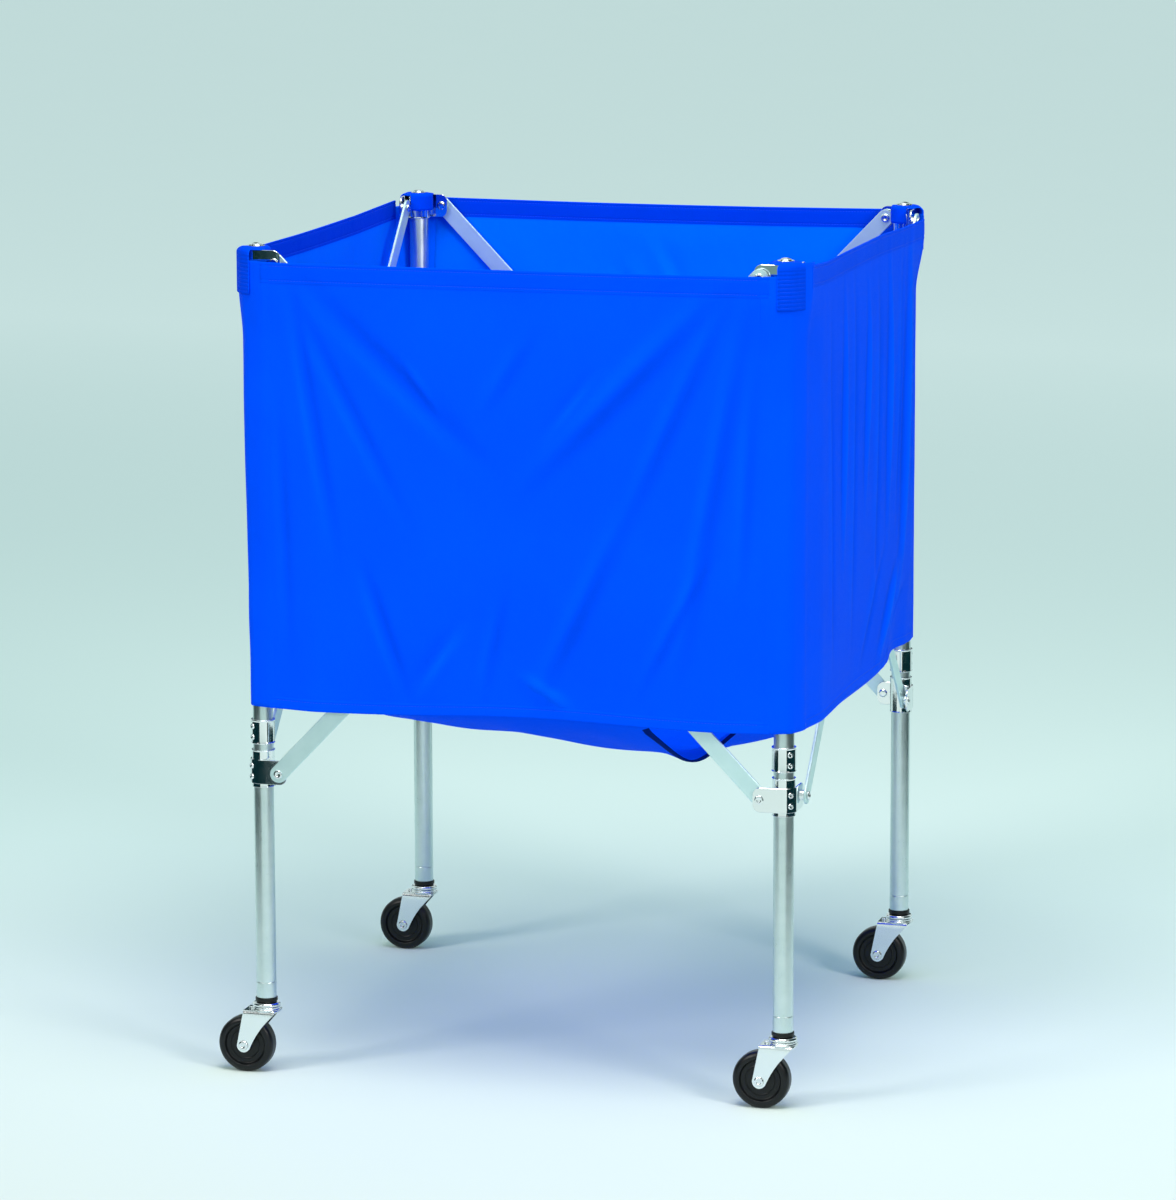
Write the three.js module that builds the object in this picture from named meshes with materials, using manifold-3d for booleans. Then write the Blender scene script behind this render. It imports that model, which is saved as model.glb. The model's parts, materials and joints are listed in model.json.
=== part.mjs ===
// A folding ball cart: four tube legs on swivel castors, joined on each side by a
// crossed pair of flat bars, with an open fabric bag hung outside the frame.
// Lengths are millimetres, +Z is up. The origin is on the floor, under the middle.
import * as THREE from "three";
import { mergeVertices } from "three/addons/utils/BufferGeometryUtils.js";
import Module from "manifold-3d";

const wasm = await Module();
wasm.setup();

// Fits shared by many pieces
const clearance = 0.3;
const slideClearance = 0.4;
const seatBite = 0.2;
const cutOverrun = 2;

// Legs, measured from the lower end of the tube
const legPitch = 590;
const tubeDiameter = 22.2;
const tubeWall = 1.2;
const tubeLength = 835.5;

// Pivots: the upper ones hang below the tube's top end, the lower ones are on the sliders
const topPivotDrop = 14;
const lowerPivotHeight = 257.5;
const pivotReach = 24;

// Pressed sheet brackets and the sleeves that they wrap
const sheetThickness = 2;
const bracketHeight = 27;
const earTip = 7;
const earCornerRadius = 8;
const sleeveWall = 1.2;
const sliderSleeveAbove = 23.5;
const sliderSleeveBelow = 18;
const collarGap = 7;
const collarHeight = 27;
const collarWall = 1.8;

// Flat bars and the rivets that join them
const barWidth = 19;
const barThickness = 3;
const barStandoff = 3.5;
const rivetShankRadius = 2.6;
const rivetHeadRadius = 5;
const rivetHeadHeight = 2;
const spacerRadius = 5.5;
const studHeadRadius = 3.2;
const studHeadHeight = 1.4;
const studRise = 6;
const studSink = 0.5;

// Screw on top of each post, with its washer and its insert
const washerRadius = 9;
const washerThickness = 1.2;
const domeRadius = 6.5;
const domeHeight = 2.8;
const screwRadius = 3;
const insertHeight = 12;
const insertDepth = 8;

// Castors
const plugDepth = 18;
const plugFlangeRadius = 12.4;
const plugFlangeHeight = 4.7;
const stemRadius = 5;
const stemHeadRadius = 7.5;
const stemHeadHeight = 2.5;
const upperRaceRadius = 15.5;
const upperRaceHeight = 4.5;
const lowerRaceRadius = 16;
const lowerRaceHeight = 4.2;
const forkPlateThickness = 2.5;
const forkPlateFront = 16;
const forkPlateBack = 23.5;
const forkPlateCorner = 8;
const forkWidth = 30;
const cheekThickness = 2.2;
const cheekEndRadius = 8;
const cheekTopFront = 12;
const nubRadius = 3;
const nubHeight = 2;
const axleDrop = 54.3;
const castorTrail = 23;
const axleRadius = 3;
const axleHeadRadius = 5.5;
const axleHeadHeight = 2;
const axleDimpleRadius = 2.6;
const axleDimpleDepth = 1;

// Wheels
const wheelRadius = 31.75;
const wheelWidth = 22;
const treadLand = 11;
const shoulderRadius = 30.3;
const shoulderWidth = 18;
const rimEdgeRadius = 27;
const rimInnerRadius = 23.5;
const webOuterRadius = 22;
const webThickness = 14;
const hubRadius = 8;
const hubWidth = 23.6;

// Bag. Its upper edges hang by a few millimetres below the tops of the tubes.
const fabricThickness = 1.5;
const bagBottomHeight = 331;
const frontEdgeDrop = 14.5;
const rightEdgeDrop = 17.5;
const backEdgeDrop = 5.5;
const leftEdgeDrop = 6.5;
const cornerEdgeDrop = 14.5;
const wallClearance = 0.4;
const hemThickness = 0.8;
const topHemHeight = 22;
const bottomHemHeight = 16;
const tabHeight = 62;
const tabThickness = 1.2;
const cornerReach = 12.5;
const flapWidth = 24;
const flapHeight = 20;
const bottomSag = 87;
const seamHalfLength = 150;

// Counts of facets
const tubeFacets = 16;
const fittingFacets = 12;
const rivetFacets = 8;
const studFacets = 6;
const wheelFacets = 24;
const arcFacets = 3;
const sheetStepsAcross = 14;
const sheetStepsAlong = 7;

// Shape shares: how round the domes are and how quickly the bag's bottom falls away
const domeShoulderShare = 0.75;
const domeRiseShare = 0.6;
const sagPowerShare = 0.7;

// Sizes worked out from those above
const topPivotHeight = tubeLength - topPivotDrop;
const collarBottom = lowerPivotHeight + sliderSleeveAbove + collarGap;
const tubeRadius = tubeDiameter / 2;
const tubeBore = tubeRadius - tubeWall;
const sleeveBore = tubeRadius + slideClearance;
const sleeveRadius = sleeveBore + sleeveWall;
const earInner = sleeveRadius - seatBite;
const earOuter = earInner + sheetThickness;
const outerBarInside = earOuter + barStandoff;
const outerBarOutside = outerBarInside + barThickness;
const innerBarOutside = earInner - barStandoff;
const innerBarInside = innerBarOutside - barThickness;
const rivetHole = rivetShankRadius + clearance;
const wallInner = outerBarOutside + clearance + rivetHeadHeight + wallClearance;
const wallOuter = wallInner + fabricThickness;
const cornerInner = earOuter + studHeadHeight + wallClearance;
const pivotSpan = legPitch - 2 * pivotReach;
const pivotDrop = topPivotHeight - lowerPivotHeight;
const barSpan = Math.hypot(pivotSpan, pivotDrop);
const wheelApothem = wheelRadius * Math.cos(Math.PI / wheelFacets);
const floorHeight = -axleDrop - wheelApothem;
const plugFlangeBottom = -clearance - plugFlangeHeight;
const upperRaceBottom = plugFlangeBottom - upperRaceHeight;
const forkPlateTop = upperRaceBottom - clearance - lowerRaceHeight;
const forkPlateBottom = forkPlateTop - forkPlateThickness;
const strapBottom = tubeLength + clearance;
const strapTop = strapBottom + fabricThickness;
const cornerTopHeight = tubeLength - cornerEdgeDrop;
const bagTopHeight = {
  front: tubeLength - frontEdgeDrop,
  right: tubeLength - rightEdgeDrop,
  back: tubeLength - backEdgeDrop,
  left: tubeLength - leftEdgeDrop,
};

const steel = { color: 0xc9ccd0, metalness: 1, roughness: 0.18 };
const aluminium = { color: 0xbfc1c2, metalness: 1, roughness: 0.38 };
const plastic = { color: 0x141414, metalness: 0, roughness: 0.5 };
const cloth = { color: 0x0052f5, metalness: 0, roughness: 0.8 };

// Turns a closed geometry into a solid that can be joined and cut.
function solidOf(geometry) {
  const bare = geometry.clone();
  bare.deleteAttribute("normal");
  bare.deleteAttribute("uv");
  const merged = mergeVertices(bare, 1e-3);
  return new wasm.Manifold(
    new wasm.Mesh({
      numProp: 3,
      vertProperties: new Float32Array(merged.attributes.position.array),
      triVerts: new Uint32Array(merged.index.array),
    }),
  );
}

function geometryOf(solid) {
  const mesh = solid.getMesh();
  const geometry = new THREE.BufferGeometry();
  geometry.setAttribute("position", new THREE.BufferAttribute(mesh.vertProperties, 3));
  geometry.setIndex(new THREE.BufferAttribute(mesh.triVerts, 1));
  geometry.computeVertexNormals();
  return geometry;
}

function joined(...geometries) {
  return geometries.map(solidOf).reduce((whole, next) => whole.add(next));
}

function piece(name, shape, look) {
  const geometry = shape.isBufferGeometry ? shape : geometryOf(shape);
  const mesh = new THREE.Mesh(geometry, new THREE.MeshStandardMaterial(look));
  mesh.name = name;
  return mesh;
}

// A turned shape about +Z. Its profile runs up the outside as [radius, height] pairs.
function turned(profile, facets) {
  const points = profile.map(([radius, height]) => new THREE.Vector2(radius, height));
  return new THREE.LatheGeometry(points, facets).rotateX(Math.PI / 2);
}

function ring(inner, outer, bottom, top, facets) {
  return turned([[inner, bottom], [outer, bottom], [outer, top], [inner, top], [inner, bottom]], facets);
}

function dome(radius, base, height) {
  return [
    [radius, base],
    [radius * domeShoulderShare, base + height * domeRiseShare],
    [0, base + height],
  ];
}

function extruded(shape, depth) {
  return new THREE.ExtrudeGeometry(shape, { depth, bevelEnabled: false, curveSegments: arcFacets });
}

function polygon(points) {
  return new THREE.Shape(points.map(([x, y]) => new THREE.Vector2(x, y)));
}

// Points along an arc about the origin, so that matching arcs have matching facets.
function arcPoints(radius, start, sweep, steps) {
  return Array.from({ length: steps + 1 }, (_, step) => {
    const angle = start + (sweep * step) / steps;
    return [radius * Math.cos(angle), radius * Math.sin(angle)];
  });
}

// Moves a shape drawn in its own X-Y plane so that its X and Y lie along two directions.
function laid(geometry, along, up, place) {
  const frame = new THREE.Matrix4().makeBasis(along, up, along.clone().cross(up));
  frame.setPosition(place);
  return geometry.applyMatrix4(frame);
}

// Points a turned shape's axis along a direction, with its zero height at a place.
function aimed(geometry, direction, place) {
  const turn = new THREE.Quaternion().setFromUnitVectors(new THREE.Vector3(0, 0, 1), direction);
  return geometry.applyQuaternion(turn).translate(place.x, place.y, place.z);
}

// On a leg the outer corner points to -X and -Y, and an ear runs inwards along each side.
const sides = {
  along_x: { along: new THREE.Vector3(1, 0, 0), outward: new THREE.Vector3(0, -1, 0) },
  along_y: { along: new THREE.Vector3(0, 1, 0), outward: new THREE.Vector3(-1, 0, 0) },
};
const up = new THREE.Vector3(0, 0, 1);
const diagonal = new THREE.Vector3(-1, -1, 0).normalize();

// Angle at which a line from a point touches a circle about the origin.
function touchAngle(x, y, radius) {
  return Math.atan2(y, x) - Math.acos(radius / Math.hypot(x, y));
}

// An ear is a flat tongue with two rounded corners, which runs a little past its pivot.
function earShape() {
  const half = bracketHeight / 2;
  const shoulder = pivotReach + earTip - earCornerRadius;
  const rise = half - earCornerRadius;
  const shape = new THREE.Shape();
  shape.moveTo(0, -half);
  shape.lineTo(shoulder, -half);
  shape.absarc(shoulder, -rise, earCornerRadius, -Math.PI / 2, 0, false);
  shape.absarc(shoulder, rise, earCornerRadius, 0, Math.PI / 2, false);
  shape.lineTo(0, half);
  shape.closePath();
  return shape;
}

function ear(side, height) {
  const start = side.along.clone().cross(up).dot(side.outward) > 0 ? earInner : -earOuter;
  const place = side.along.clone().cross(up).multiplyScalar(start);
  place.z = height;
  return laid(extruded(earShape(), sheetThickness), side.along, up, place);
}

// A pivot rivet: head, shank and spacer, with the bar outside or inside the ear.
function pivotRivet(side, height, barOutside) {
  const shank = rivetShankRadius;
  const profile = barOutside
    ? [
        [0, earInner - studHeadHeight],
        [rivetHeadRadius, earInner - studHeadHeight],
        [rivetHeadRadius, earInner + seatBite],
        [spacerRadius, earInner + seatBite],
        [spacerRadius, outerBarInside - clearance],
        [shank, outerBarInside - clearance],
        [shank, outerBarOutside + clearance],
        ...dome(rivetHeadRadius, outerBarOutside + clearance, rivetHeadHeight),
      ]
    : [
        [0, innerBarInside - clearance - rivetHeadHeight],
        [rivetHeadRadius, innerBarInside - clearance - rivetHeadHeight],
        [rivetHeadRadius, innerBarInside - clearance],
        [shank, innerBarInside - clearance],
        [shank, innerBarOutside + clearance],
        [spacerRadius, innerBarOutside + clearance],
        [spacerRadius, earOuter - seatBite],
        [rivetHeadRadius, earOuter - seatBite],
        ...dome(rivetHeadRadius, earOuter, studHeadHeight),
      ];
  const place = side.along.clone().multiplyScalar(pivotReach);
  place.z = height;
  return aimed(turned(profile, rivetFacets), side.outward, place);
}

// Two small rivet heads above each other on the outer corner.
function cornerStuds(surface, height) {
  return [-studRise, studRise].map((rise) => {
    const profile = [[0, -studSink], [studHeadRadius, -studSink], ...dome(studHeadRadius, 0, studHeadHeight)];
    const place = diagonal.clone().multiplyScalar(surface);
    place.z = height + rise;
    return aimed(turned(profile, studFacets), diagonal, place);
  });
}

// Sheet bent round the outer quarter of the sleeve.
function bend(height) {
  const steps = tubeFacets / 4;
  const outside = arcPoints(earOuter, Math.PI, Math.PI / 2, steps);
  const inside = arcPoints(earInner, Math.PI * 1.5, -Math.PI / 2, steps);
  const shape = polygon([...outside, ...inside]);
  return extruded(shape, bracketHeight).translate(0, 0, height - bracketHeight / 2);
}

// A sleeve with its bent sheet, two ears, their pivot rivets and the corner studs.
function bracketSolid(pivotHeight, sleeveBottom, sleeveTop, xBarOutside) {
  return joined(
    ring(sleeveBore, sleeveRadius, sleeveBottom, sleeveTop, tubeFacets),
    bend(pivotHeight),
    ear(sides.along_x, pivotHeight),
    ear(sides.along_y, pivotHeight),
    pivotRivet(sides.along_x, pivotHeight, xBarOutside),
    pivotRivet(sides.along_y, pivotHeight, !xBarOutside),
    ...cornerStuds(earOuter, pivotHeight),
  );
}

function collarSolid() {
  const bore = tubeRadius + clearance;
  return joined(
    ring(bore, bore + collarWall, collarBottom, collarBottom + collarHeight, tubeFacets),
    ...cornerStuds(bore + collarWall, collarBottom + collarHeight / 2),
  );
}

function postScrew() {
  const washerBottom = strapTop + clearance;
  const insertTop = tubeLength - insertDepth;
  return turned(
    [
      [0, insertTop - insertHeight],
      [tubeBore - clearance, insertTop - insertHeight],
      [tubeBore - clearance, insertTop],
      [screwRadius, insertTop],
      [screwRadius, washerBottom],
      [washerRadius, washerBottom],
      [washerRadius, washerBottom + washerThickness],
      ...dome(domeRadius, washerBottom + washerThickness, domeHeight),
    ],
    fittingFacets,
  );
}

function castorStem() {
  return turned(
    [
      [0, forkPlateBottom - clearance - stemHeadHeight],
      [stemHeadRadius, forkPlateBottom - clearance - stemHeadHeight],
      [stemHeadRadius, forkPlateBottom - clearance],
      [stemRadius, forkPlateBottom - clearance],
      [stemRadius, upperRaceBottom],
      [upperRaceRadius, upperRaceBottom],
      [upperRaceRadius, plugFlangeBottom],
      [plugFlangeRadius, plugFlangeBottom],
      [plugFlangeRadius, -clearance],
      [tubeBore - clearance, -clearance],
      [tubeBore - clearance, plugDepth],
      [0, plugDepth],
    ],
    fittingFacets,
  );
}

// The castor trails towards -X, so the fork's plate reaches further that way.
function castorFork() {
  const half = forkWidth / 2;
  const plate = new THREE.Shape();
  plate.moveTo(-forkPlateBack, -half);
  plate.lineTo(forkPlateFront - forkPlateCorner, -half);
  plate.absarc(forkPlateFront - forkPlateCorner, forkPlateCorner - half, forkPlateCorner, -Math.PI / 2, 0, false);
  plate.absarc(forkPlateFront - forkPlateCorner, half - forkPlateCorner, forkPlateCorner, 0, Math.PI / 2, false);
  plate.lineTo(-forkPlateBack, half);
  plate.closePath();
  const cheek = new THREE.Shape();
  const front = cheekTopFront + castorTrail;
  const rise = axleDrop + forkPlateTop;
  const touch = touchAngle(front, rise, cheekEndRadius);
  cheek.moveTo(castorTrail - forkPlateBack, rise);
  cheek.lineTo(-cheekEndRadius, 0);
  cheek.absarc(0, 0, cheekEndRadius, Math.PI, Math.PI * 2 + touch, false);
  cheek.lineTo(front, rise);
  cheek.closePath();
  const axlePlace = new THREE.Vector3(-castorTrail, 0, -axleDrop);
  const cheeks = [-half, half - cheekThickness].map((y) =>
    laid(extruded(cheek, cheekThickness), sides.along_x.along, up, axlePlace.clone().setY(y + cheekThickness)),
  );
  const nub = turned(
    [[0, -seatBite], [nubRadius, -seatBite], [nubRadius, nubHeight], [0, nubHeight]],
    rivetFacets,
  ).translate(nubRadius * 2 - forkPlateBack, 0, forkPlateTop);
  const body = joined(
    extruded(plate, forkPlateThickness).translate(0, 0, forkPlateBottom),
    turned(
      [
        [0, forkPlateTop - seatBite],
        [lowerRaceRadius, forkPlateTop - seatBite],
        [lowerRaceRadius, forkPlateTop + lowerRaceHeight],
        [0, forkPlateTop + lowerRaceHeight],
      ],
      fittingFacets,
    ),
    ...cheeks,
    nub,
  );
  const stemHole = turned(
    [
      [0, forkPlateBottom - cutOverrun],
      [stemRadius + clearance, forkPlateBottom - cutOverrun],
      [stemRadius + clearance, upperRaceBottom + cutOverrun],
      [0, upperRaceBottom + cutOverrun],
    ],
    fittingFacets,
  );
  const reach = half + cutOverrun;
  const holeRadius = axleRadius + clearance;
  const axleHole = aimed(
    turned([[0, -reach], [holeRadius, -reach], [holeRadius, reach], [0, reach]], rivetFacets),
    sides.along_x.outward,
    axlePlace,
  );
  return body.subtract(solidOf(stemHole)).subtract(solidOf(axleHole));
}

function castorAxle() {
  const seat = forkWidth / 2 + clearance;
  const tip = seat + axleHeadHeight;
  const profile = [
    [0, axleDimpleDepth - tip],
    [axleDimpleRadius, -tip],
    [axleHeadRadius, -seat - axleHeadHeight / 2],
    [axleHeadRadius, -seat],
    [axleRadius, -seat],
    [axleRadius, seat],
    [axleHeadRadius, seat],
    [axleHeadRadius, seat + axleHeadHeight / 2],
    [axleDimpleRadius, tip],
    [0, tip - axleDimpleDepth],
  ];
  const place = new THREE.Vector3(-castorTrail, 0, -axleDrop);
  return aimed(turned(profile, rivetFacets), sides.along_x.outward, place);
}

function castorWheel() {
  const upper = [
    [wheelRadius, treadLand / 2],
    [shoulderRadius, shoulderWidth / 2],
    [rimEdgeRadius, wheelWidth / 2],
    [rimInnerRadius, wheelWidth / 2],
    [webOuterRadius, webThickness / 2],
    [hubRadius, webThickness / 2],
    [hubRadius, hubWidth / 2],
    [axleRadius + clearance, hubWidth / 2],
  ];
  const lower = upper.map(([radius, height]) => [radius, -height]).reverse();
  const profile = [...lower, ...upper, lower[0]];
  const wheel = turned(profile, wheelFacets).rotateZ(Math.PI / wheelFacets);
  return wheel.rotateX(Math.PI / 2).translate(-castorTrail, 0, -axleDrop);
}

// The line that a taut sheet takes round a leg's outer corner: straight from one side,
// round a circle about the leg, and straight to the other side.
function cornerLine(radius, offset) {
  const touch = touchAngle(cornerReach, -offset, radius);
  const sweep = -Math.PI * 1.5 - touch * 2;
  const arc = arcPoints(radius, touch, sweep, arcFacets);
  return [[cornerReach, -offset], ...arc, [-offset, cornerReach]];
}

function cornerBand(thickness, bottom, top) {
  const outer = cornerLine(cornerInner + thickness, wallInner + thickness);
  const inner = cornerLine(cornerInner, wallInner);
  const band = polygon([...outer, ...inner.reverse()]);
  return extruded(band, top - bottom).translate(0, 0, bottom);
}

// The bag's corner: a strip down the leg, a doubled tab and a strap over the post's top.
function bagCorner() {
  const doubled = fabricThickness + tabThickness;
  const near = sleeveRadius + wallClearance;
  const far = near + fabricThickness;
  const middle = far * Math.SQRT1_2;
  const spread = (flapWidth / 2) * Math.SQRT1_2;
  const cover = polygon([
    ...cornerLine(cornerInner + doubled, wallInner + doubled),
    [middle - spread, middle + spread],
    [middle + spread, middle - spread],
  ]);
  const flap = new THREE.BoxGeometry(fabricThickness, flapWidth, flapHeight + fabricThickness)
    .translate((near + far) / 2, 0, strapTop - (flapHeight + fabricThickness) / 2)
    .rotateZ(Math.PI / 4);
  const whole = joined(
    cornerBand(fabricThickness, bagBottomHeight, cornerTopHeight),
    cornerBand(doubled, strapTop - tabHeight, strapTop),
    extruded(cover, fabricThickness).translate(0, 0, strapBottom),
    flap,
  );
  const holeRadius = screwRadius + clearance;
  const hole = turned(
    [
      [0, strapBottom - cutOverrun],
      [holeRadius, strapBottom - cutOverrun],
      [holeRadius, strapTop + cutOverrun],
      [0, strapTop + cutOverrun],
    ],
    rivetFacets,
  );
  return whole.subtract(solidOf(hole));
}

function bagWall(top) {
  const edge = wallOuter + hemThickness;
  const section = polygon([
    [wallInner, bagBottomHeight],
    [edge, bagBottomHeight],
    [edge, bagBottomHeight + bottomHemHeight],
    [wallOuter, bagBottomHeight + bottomHemHeight],
    [wallOuter, top - topHemHeight],
    [edge, top - topHemHeight],
    [edge, top],
    [wallInner, top],
  ]);
  const length = legPitch - 2 * (cornerReach + clearance);
  const outward = sides.along_x.outward;
  const start = new THREE.Vector3(length / 2, -legPitch / 2, 0);
  return laid(extruded(section, length), outward, up, start);
}

// Half of the bag's bottom: a hanging sheet sewn to one wall, with its corners cut off.
function bagBottomHalf() {
  const reach = legPitch / 2 + wallInner - clearance;
  const rows = sheetStepsAlong + 1;
  const columns = sheetStepsAcross + 1;
  const positions = [];
  for (const drop of [0, fabricThickness]) {
    for (let row = 0; row < rows; row += 1) {
      const y = -reach + ((reach - clearance / 2) * row) / sheetStepsAlong;
      const halfWidth = Math.min(reach, seamHalfLength + y + reach);
      for (let column = 0; column < columns; column += 1) {
        const x = halfWidth * ((2 * column) / sheetStepsAcross - 1);
        const fall = (1 - (x / reach) ** 2) * (1 - (y / reach) ** 2);
        const sag = bottomSag * Math.max(fall, 0) ** sagPowerShare;
        positions.push(x, y, bagBottomHeight + fabricThickness - sag - drop);
      }
    }
  }
  const under = rows * columns;
  const faces = [];
  const quad = (a, b, c, d) => faces.push(a, b, c, a, c, d);
  for (let row = 0; row + 1 < rows; row += 1) {
    for (let column = 0; column + 1 < columns; column += 1) {
      const a = row * columns + column;
      quad(a, a + 1, a + columns + 1, a + columns);
      quad(a + under, a + columns + under, a + columns + 1 + under, a + 1 + under);
    }
    const left = row * columns;
    const right = left + columns - 1;
    quad(left, left + columns, left + columns + under, left + under);
    quad(right, right + under, right + columns + under, right + columns);
  }
  for (let column = 0; column + 1 < columns; column += 1) {
    const far = (rows - 1) * columns + column;
    quad(column, column + under, column + 1 + under, column + 1);
    quad(far, far + 1, far + 1 + under, far + under);
  }
  const sheet = new THREE.BufferGeometry();
  sheet.setAttribute("position", new THREE.Float32BufferAttribute(positions, 3));
  sheet.setIndex(faces);
  return sheet;
}

// A flat bar from pivot to pivot, with a hole at each end and one in the middle.
function barSolid(along, inside) {
  const half = barWidth / 2;
  const shape = new THREE.Shape();
  shape.absarc(barSpan, 0, half, -Math.PI / 2, Math.PI / 2, false);
  shape.absarc(0, 0, half, Math.PI / 2, Math.PI * 1.5, false);
  shape.closePath();
  for (const place of [0, barSpan / 2, barSpan]) {
    const circle = arcPoints(rivetHole, 0, -Math.PI * 2, rivetFacets).slice(1);
    shape.holes.push(new THREE.Path(circle.map(([x, y]) => new THREE.Vector2(place + x, y))));
  }
  const outward = sides.along_x.outward;
  const start = new THREE.Vector3(-pivotSpan / 2, -legPitch / 2 - inside, topPivotHeight);
  if (along.z > 0) start.z = lowerPivotHeight;
  return laid(extruded(shape, barThickness), along, outward.clone().cross(along), start);
}

function crossPivot() {
  const place = new THREE.Vector3(0, -legPitch / 2, (topPivotHeight + lowerPivotHeight) / 2);
  const shank = rivetShankRadius;
  const profile = [
    [0, innerBarInside - clearance - rivetHeadHeight],
    [rivetHeadRadius, innerBarInside - clearance - rivetHeadHeight],
    [rivetHeadRadius, innerBarInside - clearance],
    [shank, innerBarInside - clearance],
    [shank, innerBarOutside + clearance],
    [spacerRadius, innerBarOutside + clearance],
    [spacerRadius, outerBarInside - clearance],
    [shank, outerBarInside - clearance],
    [shank, outerBarOutside + clearance],
    ...dome(rivetHeadRadius, outerBarOutside + clearance, rivetHeadHeight),
  ];
  return aimed(turned(profile, rivetFacets), sides.along_x.outward, place);
}

// Everything that one leg carries. The corner faces are turned with the leg.
function legGroup(corner, turn) {
  const leg = new THREE.Group();
  const x = legPitch / 2;
  leg.position.set(-x, -x, 0).applyAxisAngle(up, turn);
  const fittings = new THREE.Group();
  fittings.rotation.z = turn;
  const topSleeve = bracketHeight / 2;
  const lower = lowerPivotHeight;
  fittings.add(
    piece(`leg_tube_${corner}`, ring(tubeBore, tubeRadius, 0, tubeLength, tubeFacets), aluminium),
    piece(
      `top_bracket_${corner}`,
      bracketSolid(topPivotHeight, topPivotHeight - topSleeve, topPivotHeight + topSleeve, false),
      steel,
    ),
    piece(
      `slider_${corner}`,
      bracketSolid(lower, lower - sliderSleeveBelow, lower + sliderSleeveAbove, true),
      steel,
    ),
    piece(`stop_collar_${corner}`, collarSolid(), steel),
    piece(`post_screw_${corner}`, postScrew(), steel),
    piece(`bag_corner_${corner}`, bagCorner(), cloth),
  );
  leg.add(
    fittings,
    piece(`castor_stem_${corner}`, castorStem(), plastic),
    piece(`castor_fork_${corner}`, castorFork(), steel),
    piece(`castor_axle_${corner}`, castorAxle(), steel),
    piece(`castor_wheel_${corner}`, castorWheel(), plastic),
  );
  return leg;
}

// One side of the cart: its crossed bars, their pivot and the wall of the bag.
function sideGroup(side, turn) {
  const group = new THREE.Group();
  group.rotation.z = turn;
  const run = pivotSpan / barSpan;
  const fall = pivotDrop / barSpan;
  group.add(
    piece(`bar_inner_${side}`, barSolid(new THREE.Vector3(run, 0, -fall), innerBarInside), aluminium),
    piece(`bar_outer_${side}`, barSolid(new THREE.Vector3(run, 0, fall), outerBarInside), aluminium),
    piece(`cross_pivot_${side}`, crossPivot(), steel),
    piece(`bag_wall_${side}`, bagWall(bagTopHeight[side]), cloth),
  );
  return group;
}

const cart = new THREE.Group();
const quarter = Math.PI / 2;
["front_left", "front_right", "back_right", "back_left"].forEach((corner, index) =>
  cart.add(legGroup(corner, index * quarter)),
);
["front", "right", "back", "left"].forEach((side, index) => cart.add(sideGroup(side, index * quarter)));
const backHalf = piece("bag_bottom_back", bagBottomHalf(), cloth);
backHalf.rotation.z = Math.PI;
cart.add(piece("bag_bottom_front", bagBottomHalf(), cloth), backHalf);

// The castors reach further to -X than the bag's tabs do to +X, so the frame is moved across.
const leftReach = castorTrail + wheelApothem;
const rightReach = wallOuter + tabThickness;
cart.position.set((leftReach - rightReach) / 2, 0, -floorHeight);

export default cart;
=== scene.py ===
from math import acos, atan2, cos, hypot, pi, radians, sin, sqrt

import bmesh
import bpy
import numpy as np
from mathutils import Matrix, Vector
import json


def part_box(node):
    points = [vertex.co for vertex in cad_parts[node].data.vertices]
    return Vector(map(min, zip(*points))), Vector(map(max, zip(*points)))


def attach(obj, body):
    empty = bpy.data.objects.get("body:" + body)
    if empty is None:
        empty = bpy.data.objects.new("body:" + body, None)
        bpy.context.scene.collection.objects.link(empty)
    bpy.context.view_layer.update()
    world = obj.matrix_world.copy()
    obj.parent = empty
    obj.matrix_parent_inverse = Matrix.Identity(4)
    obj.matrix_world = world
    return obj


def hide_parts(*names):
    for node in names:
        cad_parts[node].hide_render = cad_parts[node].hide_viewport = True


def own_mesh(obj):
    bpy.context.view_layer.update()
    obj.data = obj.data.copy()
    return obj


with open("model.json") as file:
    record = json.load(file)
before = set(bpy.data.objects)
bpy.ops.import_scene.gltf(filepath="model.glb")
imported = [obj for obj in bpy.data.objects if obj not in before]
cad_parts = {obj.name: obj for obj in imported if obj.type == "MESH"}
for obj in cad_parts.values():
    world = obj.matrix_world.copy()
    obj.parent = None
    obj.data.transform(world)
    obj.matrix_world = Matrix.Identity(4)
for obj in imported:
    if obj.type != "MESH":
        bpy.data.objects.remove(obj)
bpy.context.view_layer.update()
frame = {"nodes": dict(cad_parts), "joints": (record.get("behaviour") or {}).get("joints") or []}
print("frame loaded:", len(frame["nodes"]), "nodes")

# The cart's lengths are millimetres, and mm makes them metres. Camera, stage and patterns are in metres.
mm = 0.001
gap = 0.3  # clearance between pieces that move on each other

# Side i runs from corner i to corner i + 1. ridingLeg is the leg that each wall of the bag rides on.
corners = ["front_left", "front_right", "back_right", "back_left"]
sides = ["front", "right", "back", "left"]
turnOf = {side: turn for turn, side in enumerate(sides)}
cornersOf = {side: (corners[turn], corners[(turn + 1) % 4]) for turn, side in enumerate(sides)}
ridingLeg = {"front": "front_left", "right": "front_right", "back": "back_left", "left": "front_left"}


# Where the legs stand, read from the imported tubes.
def middleOf(node):
    low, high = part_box(node)
    return (low + high) / 2


tubeLow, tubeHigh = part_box("leg_tube_front_left")
legPitch = (middleOf("leg_tube_front_right").x - middleOf("leg_tube_front_left").x) / mm
cartCentre = np.array([
    (middleOf("leg_tube_front_left").x + middleOf("leg_tube_front_right").x) / 2,
    (middleOf("leg_tube_front_left").y + middleOf("leg_tube_back_left").y) / 2,
    tubeLow.z,
])
tubeRadius = (tubeHigh.x - tubeLow.x) / 2 / mm
tubeLength = (tubeHigh.z - tubeLow.z) / mm
half = legPitch / 2


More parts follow.
